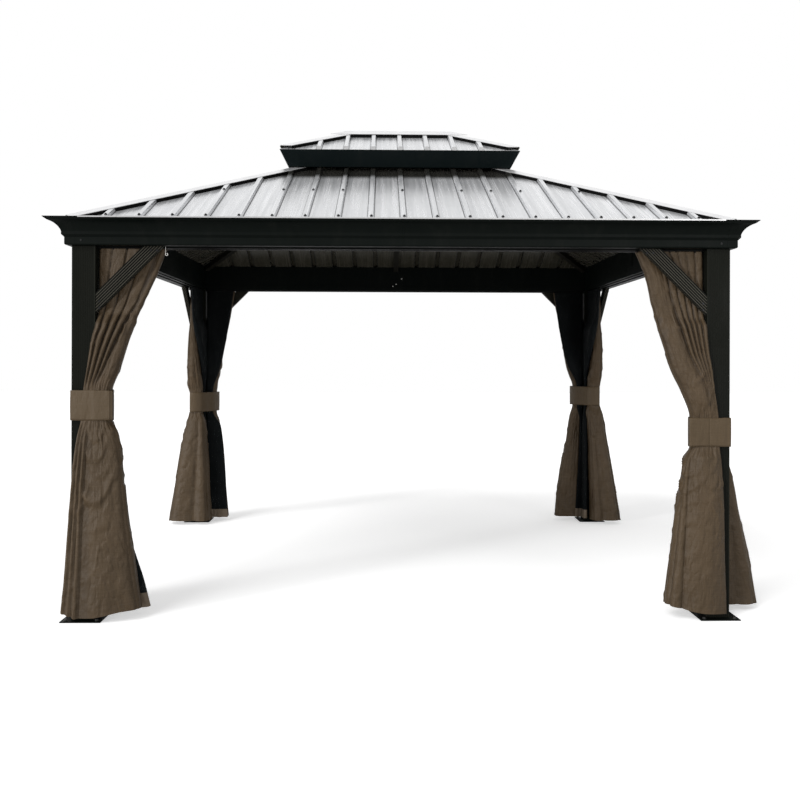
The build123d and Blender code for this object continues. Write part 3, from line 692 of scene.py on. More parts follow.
foldsBase = {
    "above": [(1100, (0, 0.1, 0.24, 0.4, 0.62, 0.84, 1.0)), (1500, (0, 0.14, 0.28, 0.44, 0.63, 0.85, 1.0)),
              (1930, (0, 0.18, 0.33, 0.5, 0.66, 0.85, 1.0))],
    "aboveDepths": (0.75, 0.75, 0.65, 0.6, 0.6, 0.5),
    "below": [(20, (0, 0.16, 0.3, 0.55, 0.8, 1.0)), (950, (0, 0.12, 0.3, 0.6, 0.86, 1.0))],
    "belowDepths": (0.22, 0.2, 0.14, 0.14, 0.2),
    "heading": 5.5, "gather": 4.0, "innerDeep": 0.28, "broad": 8.0, "crease": 20.0, "slant": 0.5,
    "underBrace": 21.0, "braceFoot": 1578.0, "most": 34.0, "bendReach": 60.0, "seam": (0.72, 0.62),
    "swags": (), "hemLift": ((0, 0.5, 1.0), (6, 0, 8))}

# height, start along and across, bend along and across, free edge, its outer and inner across, inner end
faceRows = {
    "front_left": [
        (1928, 124, 61, 240, 61, 474, 61, 72, 128), (1780, 123, 60, 230, 61, 414, 61, 74, 128),
        (1650, 122, 58, 215, 58, 352, 60, 74, 128), (1575, 122, 38, 200, 42, 318, 54, 74, 128),
        (1530, 121, -4, 180, 12, 300, 44, 74, 128), (1470, 106, -8, 160, 2, 284, 36, 72, 128),
        (1414, 97, -9, 150, -4, 268, 28, 70, 128), (1300, 82, -13, 140, -12, 236, 12, 64, 128),
        (1190, 65, -14, 128, -14, 200, -2, 58, 128), (1035, 54, -14, 128, -14, 200, -2, 58, 128),
        (960, 38, -17, 124, -20, 224, -4, 58, 128), (857, 22, -19, 116, -26, 243, -6, 60, 128),
        (698, 6, -20, 112, -32, 262, -8, 64, 128), (477, -10, -22, 118, -40, 284, -8, 68, 128),
        (220, -24, -24, 126, -48, 314, -6, 70, 128), (30, -42, -26, 136, -54, 342, -2, 70, 128)],
    "front_right": [
        (1928, 124, 61, 240, 61, 482, 61, 72, 128), (1798, 123, 60, 235, 61, 426, 61, 74, 128),
        (1690, 122, 58, 225, 58, 400, 60, 74, 128), (1575, 122, 38, 215, 42, 370, 52, 74, 128),
        (1530, 121, -4, 200, 16, 360, 44, 74, 128), (1408, 113, -8, 170, 0, 324, 30, 72, 128),
        (1300, 98, -11, 150, -8, 292, 18, 68, 128), (1188, 84, -13, 140, -12, 240, 8, 62, 128),
        (1052, 64, -14, 128, -14, 200, -2, 58, 128), (903, 58, -14, 128, -14, 200, -2, 58, 128),
        (840, 51, -16, 128, -22, 230, -4, 58, 128), (727, 45, -18, 130, -30, 248, -6, 60, 128),
        (518, 38, -20, 134, -38, 270, -8, 66, 128), (309, 33, -22, 140, -44, 292, -8, 70, 128),
        (42, 25, -24, 150, -50, 320, -8, 72, 128)],
    "back_left": [
        (1928, 124, 61, 230, 61, 352, 61, 72, 128), (1700, 123, 60, 215, 60, 318, 60, 74, 128),
        (1575, 122, 38, 195, 44, 292, 54, 72, 128), (1530, 121, -4, 180, 12, 282, 42, 70, 128),
        (1400, 100, -9, 150, -4, 252, 24, 66, 128), (1284, 86, -12, 140, -11, 230, 10, 62, 128),
        (1081, 64, -14, 128, -14, 200, -2, 58, 128), (922, 56, -14, 128, -14, 200, -2, 58, 128),
        (840, 32, -18, 122, -22, 218, -2, 60, 128), (572, 0, -24, 116, -40, 246, -6, 64, 128),
        (263, -24, -34, 126, -58, 272, -8, 66, 128), (24, -38, -40, 136, -70, 292, -10, 68, 128)],
    "back_right": [
        (1928, 124, 61, 230, 61, 372, 61, 72, 128), (1774, 123, 60, 220, 60, 346, 60, 74, 128),
        (1575, 122, 38, 200, 44, 312, 54, 72, 128), (1530, 121, -4, 190, 12, 300, 42, 70, 128),
        (1400, 100, -9, 150, -4, 274, 24, 66, 128), (1291, 88, -12, 140, -11, 250, 10, 62, 128),
        (1136, 64, -14, 128, -14, 200, -2, 58, 128), (980, 56, -14, 128, -14, 200, -2, 58, 128),
        (880, 34, -18, 122, -24, 222, -2, 60, 128), (726, 12, -24, 116, -36, 246, -4, 64, 128),
        (262, -20, -34, 126, -58, 322, -8, 68, 128), (24, -38, -40, 136, -70, 340, -10, 70, 128)],
}
sideRows = {
    "front_left": [
        (1928, 124, 61, 240, 61, 462, 61, 72, 128), (1700, 123, 60, 220, 60, 384, 60, 74, 128),
        (1575, 124, 44, 200, 44, 334, 52, 72, 128), (1340, 124, 14, 180, 10, 262, 18, 68, 128),
        (1190, 125, 4, 160, 3, 198, 8, 60, 130), (1035, 125, 4, 160, 3, 198, 8, 60, 130),
        (940, 125, 0, 160, -10, 218, -4, 60, 130), (640, 125, -2, 150, -34, 250, -26, 62, 132),
        (300, 126, 0, 150, -62, 288, -48, 64, 134), (28, 127, 4, 150, -84, 322, -66, 66, 136)],
    "front_right": [
        (1928, 124, 61, 240, 61, 470, 61, 72, 128), (1700, 123, 60, 220, 60, 392, 60, 74, 128),
        (1575, 124, 44, 200, 44, 344, 52, 72, 128), (1240, 124, 14, 180, 8, 260, 16, 68, 128),
        (1052, 125, 4, 160, 3, 198, 8, 60, 130), (903, 125, 4, 160, 3, 198, 8, 60, 130),
        (840, 125, 8, 148, -30, 212, -14, 60, 130), (780, 126, 12, 148, -66, 224, -34, 60, 130),
        (478, 128, 20, 152, -150, 262, -84, 64, 134), (259, 129, 24, 154, -206, 288, -112, 66, 136),
        (30, 130, 28, 156, -250, 316, -140, 68, 138)],
    "back_left": [
        (1928, 124, 61, 230, 61, 350, 61, 72, 128), (1700, 123, 58, 220, 56, 314, 52, 74, 128),
        (1575, 124, 40, 200, 36, 294, 34, 74, 128), (1400, 124, 20, 180, 14, 262, 10, 80, 128),
        (1240, 124, 8, 170, 4, 232, 6, 92, 130), (1081, 125, 4, 160, 3, 198, 12, 104, 130),
        (922, 125, 4, 160, 3, 198, 12, 104, 130), (840, 125, -2, 160, -16, 214, -6, 128, 132),
        (572, 125, -10, 160, -66, 232, -62, 148, 136), (263, 126, -20, 160, -116, 246, -104, 166, 140),
        (24, 127, -28, 160, -150, 258, -136, 180, 144)],
    "back_right": [
        (1928, 124, 61, 230, 61, 356, 61, 72, 128), (1700, 123, 58, 220, 54, 322, 50, 74, 128),
        (1575, 124, 40, 200, 34, 302, 32, 74, 128), (1400, 124, 20, 180, 12, 268, 8, 78, 128),
        (1280, 124, 8, 170, 4, 240, 6, 86, 130), (1136, 125, 4, 160, 3, 198, 10, 98, 130),
        (980, 125, 4, 160, 3, 198, 10, 98, 130), (900, 125, -4, 160, -20, 212, -10, 104, 132),
        (726, 125, -12, 160, -50, 226, -42, 98, 134), (390, 126, -22, 160, -104, 244, -92, 88, 138),
        (24, 127, -30, 160, -160, 258, -146, 80, 142)],
}
flatCurtain = {"face": (1.7, 1.9), "side": (1.4, 1.9)}
faceFolds = {
    "front_left": {
        "seed": 11,
        "above": [(1190, (0, 0.09, 0.22, 0.34, 0.42, 1.0)), (1400, (0, 0.13, 0.3, 0.47, 0.62, 1.0)),
                  (1640, (0, 0.17, 0.4, 0.63, 0.86, 1.0)), (1930, (0, 0.2, 0.42, 0.63, 0.86, 1.0))],
        "aboveDepths": (0.9, 0.95, 0.95, 0.85, 0.2),
        "below": [(30, (0, 0.07, 0.15, 0.24, 1.0)), (1030, (0, 0.09, 0.18, 0.28, 1.0))],
        "belowDepths": (0.9, 0.85, 0.75, 0.05),
        "swags": ((38, 66, 0.22, 0.48, 8.0), (118, 92, 0.3, 0.5, 11.0), (212, 78, 0.26, 0.6, 6.0),
                  (310, 112, 0.36, 0.48, 14.0), (505, 60, 0.3, 0.5, 4.0)),
        "hemLift": ((0, 0.12, 0.35, 0.7, 1.0), (22, -8, 4, 22, 28))},
    "front_right": {
        "seed": 23,
        "above": [
            (1052, (0, 0.05, 0.1, 0.15, 0.2, 0.26, 1.0)), (1190, (0, 0.05, 0.09, 0.13, 0.16, 0.21, 1.0)),
            (1380, (0, 0.09, 0.18, 0.27, 0.37, 0.48, 1.0)), (1690, (0, 0.12, 0.24, 0.36, 0.49, 0.62, 1.0)),
            (1930, (0, 0.13, 0.26, 0.38, 0.5, 0.64, 1.0))],
        "aboveDepths": (0.85, 0.85, 0.85, 0.85, 0.85, 0.16),
        "below": [(40, (0, 0.8, 1.0)), (900, (0, 0.9, 1.0))], "belowDepths": (0.1, 0.42),
        "swags": ((60, 70, 0.24, 0.36, 7.0), (178, 34, 0.14, 0.32, 12.0), (150, 40, 0.22, 0.66, 5.0)),
        "hemLift": ((0, 0.2, 0.6, 1.0), (-10, -2, 12, 32))},
    "back_left": {"seed": 37}, "back_right": {"seed": 41}}
sideFolds = {
    "front_left": {"seed": 53},
    "front_right": {"seed": 61, "bendReach": 150.0, "belowDepths": (0.06, 0.12, 0.1, 0.1, 0.12)},
    "back_left": {"seed": 71, "bendReach": 30.0}, "back_right": {"seed": 83, "bendReach": 30.0}}

for corner in cornerSigns:
    for part, rows, changes in (("face", faceRows, faceFolds), ("side", sideRows, sideFolds)):
        folds = dict(foldsBase, band=bands[corner])
        folds.update(changes[corner])
        hangCloth("curtain", part, corner, rows[corner], folds)
print("curtains hung")

# Netting hangs from the inner track and is tied between the curtains. For each part: the free
# edge at each key height above the band, then below it, the last of these at the hem.
netEdges = {
    "front_left": {"face": (((1928, 402), (1700, 318), (1540, 252), (1380, 214)),
                            ((790, 190), (480, 236), (375, 288), (273, 322), (196, 346), (40, 384))),
                   "side": (((1928, 440), (1620, 352), (1380, 240)), ((905, 236), (34, 300)))},
    "front_right": {"face": (((1928, 402), (1620, 300), (1240, 206)), ((773, 196), (54, 268))),
                    "side": (((1928, 440), (1620, 352), (1240, 240)), ((773, 236), (34, 300)))},
    "back_left": {"face": (((1928, 352), (1620, 306), (1271, 236)), ((792, 246), (24, 306))),
                  "side": (((1928, 490), (1700, 450), (1600, 404), (1540, 352), (1400, 250), (1271, 200)),
                           ((792, 192), (30, 214)))},
    "back_right": {"face": (((1928, 372), (1620, 329), (1326, 262)), ((850, 150), (24, 190))),
                   "side": (((1928, 490), (1700, 452), (1600, 412), (1500, 340), (1400, 262), (1326, 210)),
                            ((850, 186), (30, 200)))}}
netBands = {"front": ((126, 66, 172, 64, 84), (126, 66, 170, 64, 84)),
            "back": ((126, 66, 174, 66, 84), (126, 108, 146, 108, 124))}


netSizes = {"tiedFrom": 1660.0, "start": 126, "hangAt": 86, "bendShare": 0.4, "bandBend": 140, "inner": 104.0,
            "innerGap": 14, "innerEnd": 130, "spread": 2, "innerSpread": 4, "face": 6.0, "side": 14.0}


def netRows(corner, part):
    low, high = bands[corner]
    above, below = netEdges[corner][part]
    startA, startC, edgeA, outC, inC = netBands[corner.split("_")[0]][0 if part == "face" else 1]
    sizes = netSizes
    start, hang, end = sizes["start"], sizes["hangAt"], sizes["innerEnd"]
    rows = []
    for height, edge in above:
        tied = min(1.0, max(0.0, (sizes["tiedFrom"] - height) / (sizes["tiedFrom"] - high)))
        out = hang + (outC - hang) * tied
        inner = max(sizes["inner"], inC + sizes["innerGap"]) if tied > 0 else sizes["inner"]
        bend = start + (edge - start) * sizes["bendShare"]
        rows.append((height, start, hang + (startC - hang) * tied, bend, out, edge, out, inner, end))
    for height in (high, low):
        rows.append((height, startA, startC, sizes["bandBend"], outC, edgeA, outC, inC, end))
    for number, (height, edge) in enumerate(below):
        spread = sizes["spread"] * (1 + number)
        bend = start + (edge - start) * sizes["bendShare"]
        inner = inC + sizes[part] + sizes["innerSpread"] * number
        rows.append((height, start, startC + spread, bend, outC + spread, edge, outC + spread, inner, end))
    return rows


netFolds = dict(
    foldsBase, above=[(900, (0, 0.2, 0.4, 0.6, 0.8, 1.0)), (1930, (0, 0.22, 0.4, 0.6, 0.8, 1.0))],
    aboveDepths=(0.1, 0.1, 0.1, 0.1, 0.1), below=[(20, (0, 0.3, 0.6, 1.0)), (900, (0, 0.3, 0.6, 1.0))],
    belowDepths=(0.05, 0.05, 0.05), heading=0.6, gather=0.3, broad=1.0, crease=0.6, most=5.0,
    underBrace=5.0, innerDeep=0.22)
for number, corner in enumerate(cornerSigns):
    for part, seed in (("face", 101), ("side", 104)):
        folds = dict(netFolds, band=bands[corner], seed=seed + 7 * number)
        hangCloth("netting", part, corner, netRows(corner, part), folds,
                  hem={"height": 56.0, "finish": "nettingHem"})
print("netting hung")

# Tie bands: a strip round the post and the gathered cloth, with its end lapped over its start.
# The outline is in from the post's outer faces, each corner with its rounding.
bandSizes = {"thickness": 0.0022, "turns": 150, "rows": 14, "lap": 15, "lapLift": 2.9, "wave": 3.0,
             "fine": 1.2, "sink": -0.3, "centre": (95.0, 90.0),
             "outline": ((-2, -17.5, 5), (128, -17.8, 30), (216, -17, 8), (213, 22, 18), (194, 74, 26),
                         (110, 192, 30), (60, 213, 24), (14, 213, 18), (-2, 150, 30))}
bandStarts = {"front_left": 40, "front_right": 23, "back_left": 8, "back_right": 8}


def tieBand(corner, seed):
    low, high = bands[corner]
    sizes = bandSizes
    points = [point[:2] for point in sizes["outline"]]
    reaches = [point[2] for point in sizes["outline"]]
    middle = ((points[-1][0] + points[0][0]) / 2, (points[-1][1] + points[0][1]) / 2)
    dense, run, marks = roundedLine([middle] + points + [middle], [0] + reaches + [0])
    turns, rows, lap = sizes["turns"], sizes["rows"], sizes["lap"]
    places = (np.arange(turns + lap + 1) + bandStarts[corner]) % turns * run[-1] / turns
    path = np.stack([np.interp(places, run, dense[:, 0]), np.interp(places, run, dense[:, 1])], axis=1)
    centre = np.array(sizes["centre"])
    vertices, flatPlaces = [], []
    for row in range(rows + 1):
        share = row / rows
        for k, place in enumerate(path):
            out = (place - centre) / np.linalg.norm(place - centre)
            ripple = noise.noise(Vector((k / 9.0, share * 1.7, seed)))
            swell = math.sin(math.pi * share) ** 0.7 + ripple * (0.35 + 0.65 * abs(2 * share - 1))
            swell = max(sizes["sink"], swell) + sizes["lapLift"] * float(ease((k - turns + 4) / 4.0))
            wave = sizes["wave"] * noise.noise(Vector((k / 26.0, 3.1, seed))) * (2 * share - 1)
            fine = sizes["fine"] * noise.noise(Vector((k / 7.0, 9.0 + share, seed)))
            height = low + (high - low) * share + wave + fine
            vertices.append(cornerPlace(corner, *(place + out * swell), height))
            flatPlaces.append((k / turns * run[-1] / 1000, share * (high - low) / 1000))
    piece = newPiece("tie_band_cloth_" + corner, vertices,
                     gridFaces(rows + 1, turns + lap + 1, isMirrored(corner)), ["band"],
                     cloth={"flatPlaces": flatPlaces})
    thick = piece.modifiers.new("clothThickness", "SOLIDIFY")
    thick.thickness = sizes["thickness"]
    thick.offset = -1.0
    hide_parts("tie_band_" + corner)


for number, corner in enumerate(cornerSigns):
    tieBand(corner, 3.0 + 5 * number)
print("tie bands tied")


# what repeats is placed by geometry nodes on points that carry their own direction
def makeFastenerTree():
    tree = bpy.data.node_groups.new("fastenerHeads", "GeometryNodeTree")
    newSocket = tree.interface.new_socket
    newSocket("Geometry", in_out="OUTPUT", socket_type="NodeSocketGeometry")
    newSocket("Geometry", in_out="INPUT", socket_type="NodeSocketGeometry")
    for label, kind, value in (
            ("Head Radius", "Float", 0.006), ("Head Height", "Float", 0.004), ("Head Taper", "Float", 0.8),
            ("Washer Radius", "Float", 0.009), ("Washer Height", "Float", 0.0015), ("Sides", "Int", 12),
            ("Seed", "Int", 5)):
        newSocket(label, in_out="INPUT", socket_type="NodeSocket" + kind).default_value = value
    newSocket("Finish", in_out="INPUT", socket_type="NodeSocketMaterial")
    given = tree.nodes.new("NodeGroupInput").outputs
    points = makeNode(tree, "GeometryNodeMeshToPoints", {"Mesh": given["Geometry"]})
    washer = makeNode(tree, "GeometryNodeMeshCylinder", {
        "Vertices": 14, "Radius": given["Washer Radius"], "Depth": given["Washer Height"]})
    head = makeNode(tree, "GeometryNodeMeshCone", {
        "Vertices": given["Sides"], "Radius Bottom": given["Head Radius"], "Depth": given["Head Height"],
        "Radius Top": timesAt(tree, given["Head Radius"], given["Head Taper"])})
    lift = makeNode(tree, "ShaderNodeCombineXYZ", {"Z": timesAt(tree, given["Washer Height"], 0.5)})
    raised = makeNode(tree, "GeometryNodeTransform", {
        "Geometry": head.outputs["Mesh"], "Translation": lift.outputs["Vector"]})
    both = makeNode(tree, "GeometryNodeJoinGeometry", {"Geometry": washer.outputs["Mesh"]})
    tree.links.new(raised.outputs["Geometry"], both.inputs["Geometry"])
    aim = makeNode(tree, "GeometryNodeInputNamedAttribute", {"Name": "aim"}, data_type="FLOAT_VECTOR")
    turned = makeNode(tree, "FunctionNodeAlignRotationToVector", {
        "Vector": aim.outputs["Attribute"]}, axis="Z")
    spin = makeNode(tree, "FunctionNodeRandomValue", {3: 1.05, "Seed": given["Seed"]}, data_type="FLOAT")
    spun = makeNode(tree, "FunctionNodeAxisAngleToRotation", {"Angle": spin.outputs[1]})
    joined = makeNode(tree, "FunctionNodeRotateRotation", {
        "Rotation": turned.outputs["Rotation"], "Rotate By": spun.outputs["Rotation"]},
        rotation_space="LOCAL")
    placed = makeNode(tree, "GeometryNodeInstanceOnPoints", {
        "Points": points.outputs["Points"], "Instance": both.outputs["Geometry"],
        "Rotation": joined.outputs["Rotation"]})
    real = makeNode(tree, "GeometryNodeRealizeInstances", {"Geometry": placed.outputs["Instances"]})
    coated = makeNode(tree, "GeometryNodeSetMaterial", {
        "Geometry": real.outputs["Geometry"], "Material": given["Finish"]})
    makeNode(tree, "NodeGroupOutput", {"Geometry": coated.outputs["Geometry"]})
    return tree


fastenerTree = makeFastenerTree()


# sets out one kind of fastener at (place, direction) pairs, in metres, as one plain mesh
def setFasteners(name, places, sizes, finish):
    mesh = bpy.data.meshes.new(name + "Points")
    mesh.from_pydata([place for place, aim in places], [], [])
    aims = mesh.attributes.new("aim", "FLOAT_VECTOR", "POINT")
    aims.data.foreach_set("vector", np.array([aim for place, aim in places], dtype=np.float32).ravel())
    holder = bpy.data.objects.new(name + "Points", mesh)
    scene.collection.objects.link(holder)
    modifier = holder.modifiers.new("fasteners", "NODES")
    modifier.node_group = fastenerTree
    sockets = {item.name: item.identifier for item in fastenerTree.interface.items_tree
               if item.in_out == "INPUT"}
    for label, value in dict(sizes, Finish=finishes[finish]).items():
        modifier[sockets[label]] = value
    plain = bpy.data.meshes.new_from_object(holder.evaluated_get(bpy.context.evaluated_depsgraph_get()))
    plain.name = name
    bpy.data.objects.remove(holder)
    addPiece(name, plain)


def turnedPlace(side, x, y, z):
    if side == "front":
        return x, y, z
    if side == "right":
        return -y, x, z
    if side == "back":
        return -x, -y, z
    return y, -x, z


# for each side, the size that is its distance from the middle and the one that is half its length
sideTurns = {side: ("tipY", "tipX") if side in ("front", "back") else ("tipX", "tipY")
             for side in ("front", "right", "back", "left")}
roofScrews = {"eaveIn": 104.0, "middleIn": 605.0, "middleRibs": (0, -2, 2, -3, 3, -4, 4, -6, 6),
              "beside": -4.0, "ribTop": 21.3, "ribsFrom": 150.0, "fromHip": 90.0}


def roofScrewPlaces():
    places = []
    sizes = roofScrews
    for side, (reachName, runName) in sideTurns.items():
        reach, run = frameSizes[reachName], frameSizes[runName]
        ribs = int((run - sizes["ribsFrom"]) / frameSizes["ribPitch"])
        aim = turnedPlace(side, 0, -math.sin(frameSizes["pitch"]), math.cos(frameSizes["pitch"]))
        for inward, chosen in ((sizes["eaveIn"], range(-ribs, ribs + 1)),
                               (sizes["middleIn"], sizes["middleRibs"])):
            for rib in chosen:
                x = rib * frameSizes["ribPitch"] - sizes["beside"]
                if abs(x) > run - inward - sizes["fromHip"]:
                    continue
                height = frameSizes["base"] + inward * slope + sizes["ribTop"] / math.cos(frameSizes["pitch"])
                place = turnedPlace(side, x / 1000, (inward - reach) / 1000, height / 1000)
                places.append((place, aim))
    return places


# screws in the ends of the fascia and of the braces, and those of the splice plates
beamScrews = {"fasciaIn": 82.0, "height": 1962.0, "fromTip": 168.0, "spliceIn": 230.0,
              "splice": ((49.8, 2037.6), (2.8, 1990.3), (-24.9, 1973.4)), "braceIn": 3.0,
              "brace": ((141.0, 1617.0), (141.0, 1650.0), (405.0, 1915.0), (438.0, 1915.0))}


def frameScrewPlaces():
    places = []
    for side, (reachName, runName) in sideTurns.items():
        reach, run = frameSizes[reachName], frameSizes[runName]
        out = turnedPlace(side, 0, -1, 0)
        for x in (-(run - beamScrews["fromTip"]), run - beamScrews["fromTip"]):
            y = -reach + beamScrews["fasciaIn"]
            places.append((turnedPlace(side, x / 1000, y / 1000, beamScrews["height"] / 1000), out))
    for corner, (signX, signY) in cornerSigns.items():
        for along, height in beamScrews["brace"]:
            places.append((cornerPlace(corner, along, beamScrews["braceIn"], height), (0, -signY, 0)))
            places.append((cornerPlace(corner, beamScrews["braceIn"], along, height), (-signX, 0, 0)))
    return places


def spliceScrewPlaces():
    places = []
    for side in ("front", "back"):
        inside = turnedPlace(side, 0, 1, 0)
        y = -frameSizes["tipY"] + beamScrews["spliceIn"]
        for x, z in beamScrews["splice"]:
            places.append((turnedPlace(side, -x / 1000, y / 1000, z / 1000), inside))
    return places


# the bolts of the foot plates, on the plate's top
anchors = {"in": (-20.0, 140.0), "height": 5.8}
anchorPlaces = [(cornerPlace(corner, stepX, stepY, anchors["height"]), (0, 0, 1)) for corner in cornerSigns
                for stepX in anchors["in"] for stepY in anchors["in"]]

# gliders that carry the cloth under the tracks, up to the free edge of what hangs there
gliders = {"curtainIn": 45.0, "nettingIn": 90.0, "first": 134.0, "short": 4.0, "count": 11, "height": 1926.0}
gliderPlaces = []
for corner in cornerSigns:
    netReaches = [netEdges[corner][part][0][0][1] for part in ("face", "side")]
    for trackIn, reaches in ((gliders["curtainIn"], (faceRows[corner][0][5], sideRows[corner][0][5])),
                             (gliders["nettingIn"], netReaches)):
        for alongX, reach in zip((True, False), reaches):
            for along in np.linspace(gliders["first"], reach - gliders["short"], gliders["count"]):
                inX, inY = (along, trackIn) if alongX else (trackIn, along)
                gliderPlaces.append((cornerPlace(corner, inX, inY, gliders["height"]), (0, 0, 1)))

# places, finish and slot of each kind, then head radius, height and taper, washer radius and
# height, and the number of sides
fasteners = {
    "roof_screws": (roofScrewPlaces(), "screw", "roof_sheet", (0.006, 0.005, 0.8, 0.0085, 0.003, 6)),
    "frame_screws": (frameScrewPlaces(), "screw", "frame", (0.0045, 0.0028, 0.8, 0.0058, 0.0012, 12)),
    "splice_screws": (spliceScrewPlaces(), "hook", "frame", (0.0042, 0.003, 0.8, 0.0055, 0.0012, 12)),
    "anchor_bolts": (anchorPlaces, "bolt", "frame", (0.0085, 0.0075, 0.96, 0.011, 0.0018, 6)),
    "curtain_gliders": (gliderPlaces, "track", "track", (0.003, 0.005, 0.7, 0.0042, 0.007, 8))}
fastenerLabels = ("Head Radius", "Head Height", "Head Taper", "Washer Radius", "Washer Height", "Sides")
for name, (places, finish, slotName, sizes) in fasteners.items():
    setFasteners(name, places, dict(zip(fastenerLabels, sizes)), finish)
print("fasteners set")


# adds the closed prism between two outlines, given in millimetres
def addPrism(vertices, faces, first, last):
    start, count = len(vertices), len(first)
    vertices += [tuple(value / 1000 for value in place) for place in (*first, *last)]
    faces.append(tuple(range(start, start + count))[::-1])
    faces.append(tuple(range(start + count, start + 2 * count)))
    for k in range(count):
        onward = (k + 1) % count
        faces.append((start + k, start + onward, start + count + onward, start + count + k))


# black closures that fill the ribs' height under the edges of the hip and ridge caps
closureSizes = {"reach": 49.0, "thickness": 5.0, "height": 19.0, "lift": 1.3, "ridgeHeight": 21.0,
                "lowStart": 92.0, "lowEnd": 1192.0, "upperStart": 42.0, "fromPeak": 108.0,
                "upperTipX": 762.0, "upperTipY": 462.0, "upperBase": 2681.9, "ridge": 338.0, "ridgeIn": 98.0}


def ribClosures():
    vertices, faces = [], []
    sizes = closureSizes
    half, low = sizes["thickness"] / 2, sizes["lift"]

    def addStrip(ends, across, high):
        outlines = [[place + Vector((0, 0, rise)) + across * step for rise, step in (
            (high, -half), (high, half), (low, half), (low, -half))] for place in ends]
        addPrism(vertices, faces, *outlines)

    shift = sizes["reach"] / math.sqrt(2)
    runs = [(frameSizes["tipX"], frameSizes["tipY"], frameSizes["base"], sizes["lowStart"], sizes["lowEnd"]),
            (sizes["upperTipX"], sizes["upperTipY"], sizes["upperBase"], sizes["upperStart"],
             sizes["upperTipY"] - sizes["fromPeak"])]
    for tipX, tipY, base, first, last in runs:
        for signX in (-1, 1):
            for signY in (-1, 1):
                for beside in (-shift, shift):
                    ends = [Vector((signX * (tipX - inward + beside), signY * (tipY - inward - beside),
                                    base + (inward - shift) * slope)) for inward in (first, last)]
                    direction = (ends[1] - ends[0]).normalized()
                    across = Vector((0, 0, 1)).cross(direction).normalized()
                    addStrip(ends, across, sizes["height"] + low)
    height = sizes["upperBase"] + (sizes["upperTipY"] - sizes["ridgeIn"]) * slope
    for inY in (-sizes["ridgeIn"], sizes["ridgeIn"]):
        ends = [Vector((x, inY, height)) for x in (-sizes["ridge"], sizes["ridge"])]
        addStrip(ends, Vector((0, 1, 0)), sizes["ridgeHeight"])
    newPiece("rib_closures", vertices, faces, ["closure"], False)


# folded ends that shut the ribs at the eaves of the upper roof
ribEndSizes = {"base": 33.0, "top": 23.0, "height": 20.6, "thickness": 1.2, "setBack": 0.4, "lift": 0.2,
               "clear": 110.0}


def ribEnds():
    vertices, faces = [], []
    sizes = ribEndSizes
    halfBase, halfTop = sizes["base"] / 2, sizes["top"] / 2
    for side in sideTurns:
        reach, run = closureSizes["upperTipY"], closureSizes["upperTipX"]
        if side in ("left", "right"):
            reach, run = run, reach
        count = int((run - sizes["clear"]) / frameSizes["ribPitch"])
        for rib in range(-count, count + 1):
            x = rib * frameSizes["ribPitch"]
            outlines = []
            for inward in (sizes["setBack"] + sizes["thickness"], sizes["setBack"]):
                y, low = inward - reach, closureSizes["upperBase"] + inward * slope + sizes["lift"]
                outlines.append([turnedPlace(side, x + stepX, y, low + rise) for stepX, rise in (
                    (-halfBase, 0), (halfBase, 0), (halfTop, sizes["height"]), (-halfTop, sizes["height"]))])
            addPrism(vertices, faces, *outlines)
    newPiece("rib_ends", vertices, faces, ["trim"], False)


# the sheets' eave edge, over the lip of the crown and folded down in front of it
foldedEdge = {"clear": 178.0, "drop": 5.5, "rise": 1.2, "thickness": 1.2, "lip": 2073.0, "gap": 0.1,
              "over": 49.0}


def eaveEdges():
    vertices, faces = [], []
    sizes = foldedEdge
    for side, (reachName, runName) in sideTurns.items():
        half = frameSizes[runName] - sizes["clear"]
        near, top = -frameSizes[reachName] - sizes["gap"], sizes["lip"] + sizes["gap"]
        front, back, foot = near - sizes["thickness"], near + sizes["over"], sizes["lip"] - sizes["drop"]
        outline = ((near, foot), (front, foot), (front, top + sizes["rise"]), (back, top + sizes["rise"]),
                   (back, top), (near, top))
        addPrism(vertices, faces, *([turnedPlace(side, x, y, z) for y, z in outline] for x in (-half, half)))
    newPiece("eave_edges", vertices, faces, ["trim"], False)


ribClosures()
ribEnds()
eaveEdges()
print("closures fitted")

# the small wire hook that hangs under the front beam near the left post
hookSizes = {"x": -1240.0, "y": -1385.0, "top": 1940.0, "low": 1898.0, "eye": 6.0, "wire": 1.8, "steps": 40,
             "sides": 8, "stem": 0.45, "bend": 1.55}


def wireHook():
    sizes = hookSizes
    path = []
    for share in np.arange(sizes["steps"] + 1) / sizes["steps"]:
        if share < sizes["stem"]:
            path.append((0.0, sizes["top"] - (sizes["top"] - sizes["low"]) * share / sizes["stem"]))
        else:
            turn = math.pi * (1 + (share - sizes["stem"]) / (1 - sizes["stem"]) * sizes["bend"])
            path.append((sizes["eye"] * (1 + math.cos(turn)), sizes["low"] + sizes["eye"] * math.sin(turn)))
    path = np.array(path)
    ahead = np.gradient(path, axis=0)
    ahead /= np.hypot(*ahead.T)[:, None]
    vertices, faces = [], []
    sides = sizes["sides"]
    for (x, z), (runX, runZ) in zip(path, ahead):
        for turn in 2 * math.pi * np.arange(sides) / sides:
            off, out = sizes["wire"] * math.cos(turn), sizes["wire"] * math.sin(turn)
            vertices.append(((sizes["x"] + x + off * runZ) / 1000, (sizes["y"] + out) / 1000,
                             (z - off * runX) / 1000))
    for row in range(len(path) - 1):
        for k in range(sides):
            start, onward = row * sides, (k + 1) % sides
            faces.append((start + k, start + onward, start + sides + onward, start + sides + k))
    faces.append(tuple(range(sides))[::-1])
    faces.append(tuple(len(vertices) - sides + k for k in range(sides)))
    newPiece("curtain_hook", vertices, faces, ["hook"])


wireHook()

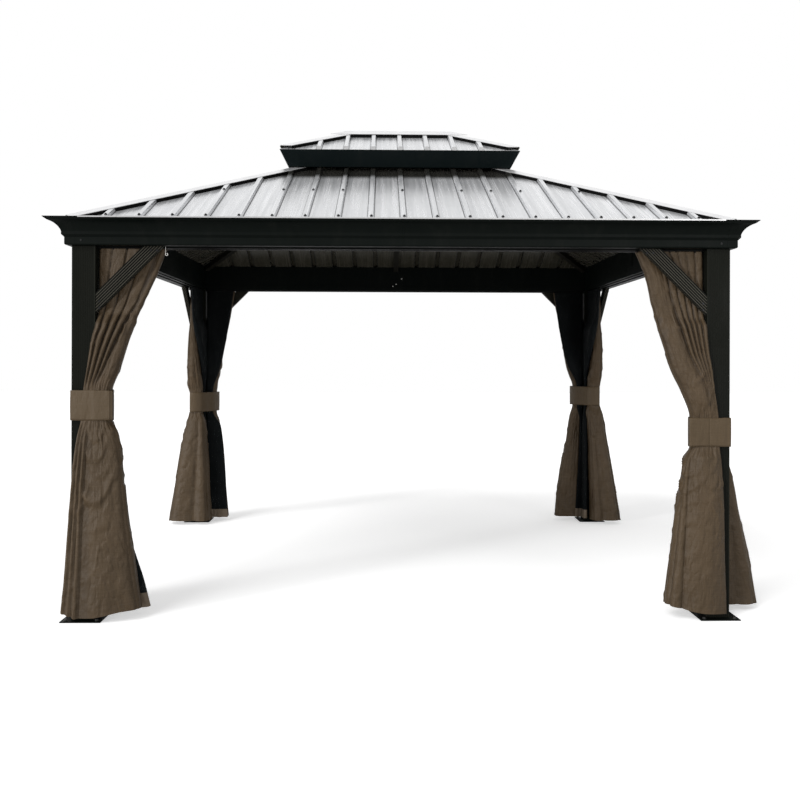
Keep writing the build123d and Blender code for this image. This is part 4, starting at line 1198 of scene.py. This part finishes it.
# plain pale floor and soft studio light: the strength, softness and turn of each sun
floorLook = {"half": 30.0, "colour": (0.93, 0.93, 0.93, 1.0), "glow": 0.5}
skyStrength = 0.38
suns = {"sun": (1.45, 30.0, (48.0, 0.0, -40.0)), "lowSun": (1.95, 9.0, (84.0, 0.0, -50.0)),
        "fillSun": (0.8, 20.0, (85.0, 0.0, 26.0))}


def makeStage():
    half = floorLook["half"]
    mesh = bpy.data.meshes.new("studioFloor")
    outline = [(-half, -half, 0), (half, -half, 0), (half, half, 0), (-half, half, 0)]
    mesh.from_pydata(outline, [], [(0, 1, 2, 3)])
    floor = bpy.data.objects.new("studioFloor", mesh)
    scene.collection.objects.link(floor)
    material, tree, shader, place = startMaterial("paleFloor", {
        "Base Color": floorLook["colour"], "Roughness": 0.9, "Specular IOR Level": 0.1,
        "Emission Strength": floorLook["glow"]})
    rays = tree.nodes.new("ShaderNodeLightPath").outputs
    linkAll(tree, shader, {"Emission Color": mixColour(
        tree, rays["Is Camera Ray"], (0.0, 0.0, 0.0), (1.0, 1.0, 1.0))})
    mesh.materials.append(material)
    world = bpy.data.worlds.new("studioSky")
    world.use_nodes = True
    scene.world = world
    sky = world.node_tree
    rays = sky.nodes.new("ShaderNodeLightPath").outputs
    seen = mathAt(sky, "MAXIMUM", rays["Is Camera Ray"], rays["Is Glossy Ray"])
    seen = mathAt(sky, "MAXIMUM", seen, rays["Is Transmission Ray"])
    strength = makeNode(sky, "ShaderNodeMapRange", {"Value": seen, "To Min": skyStrength, "To Max": 1.0})
    sky.nodes["Background"].inputs["Color"].default_value = (1.0, 1.0, 1.0, 1.0)
    linkAll(sky, sky.nodes["Background"], {"Strength": strength.outputs["Result"]})
    for name, (energy, softness, turn) in suns.items():
        sun = bpy.data.lights.new(name, "SUN")
        sun.energy = energy
        sun.angle = math.radians(softness)
        lamp = bpy.data.objects.new(name, sun)
        lamp.rotation_euler = [math.radians(angle) for angle in turn]
        scene.collection.objects.link(lamp)


makeStage()
print("scene ready")
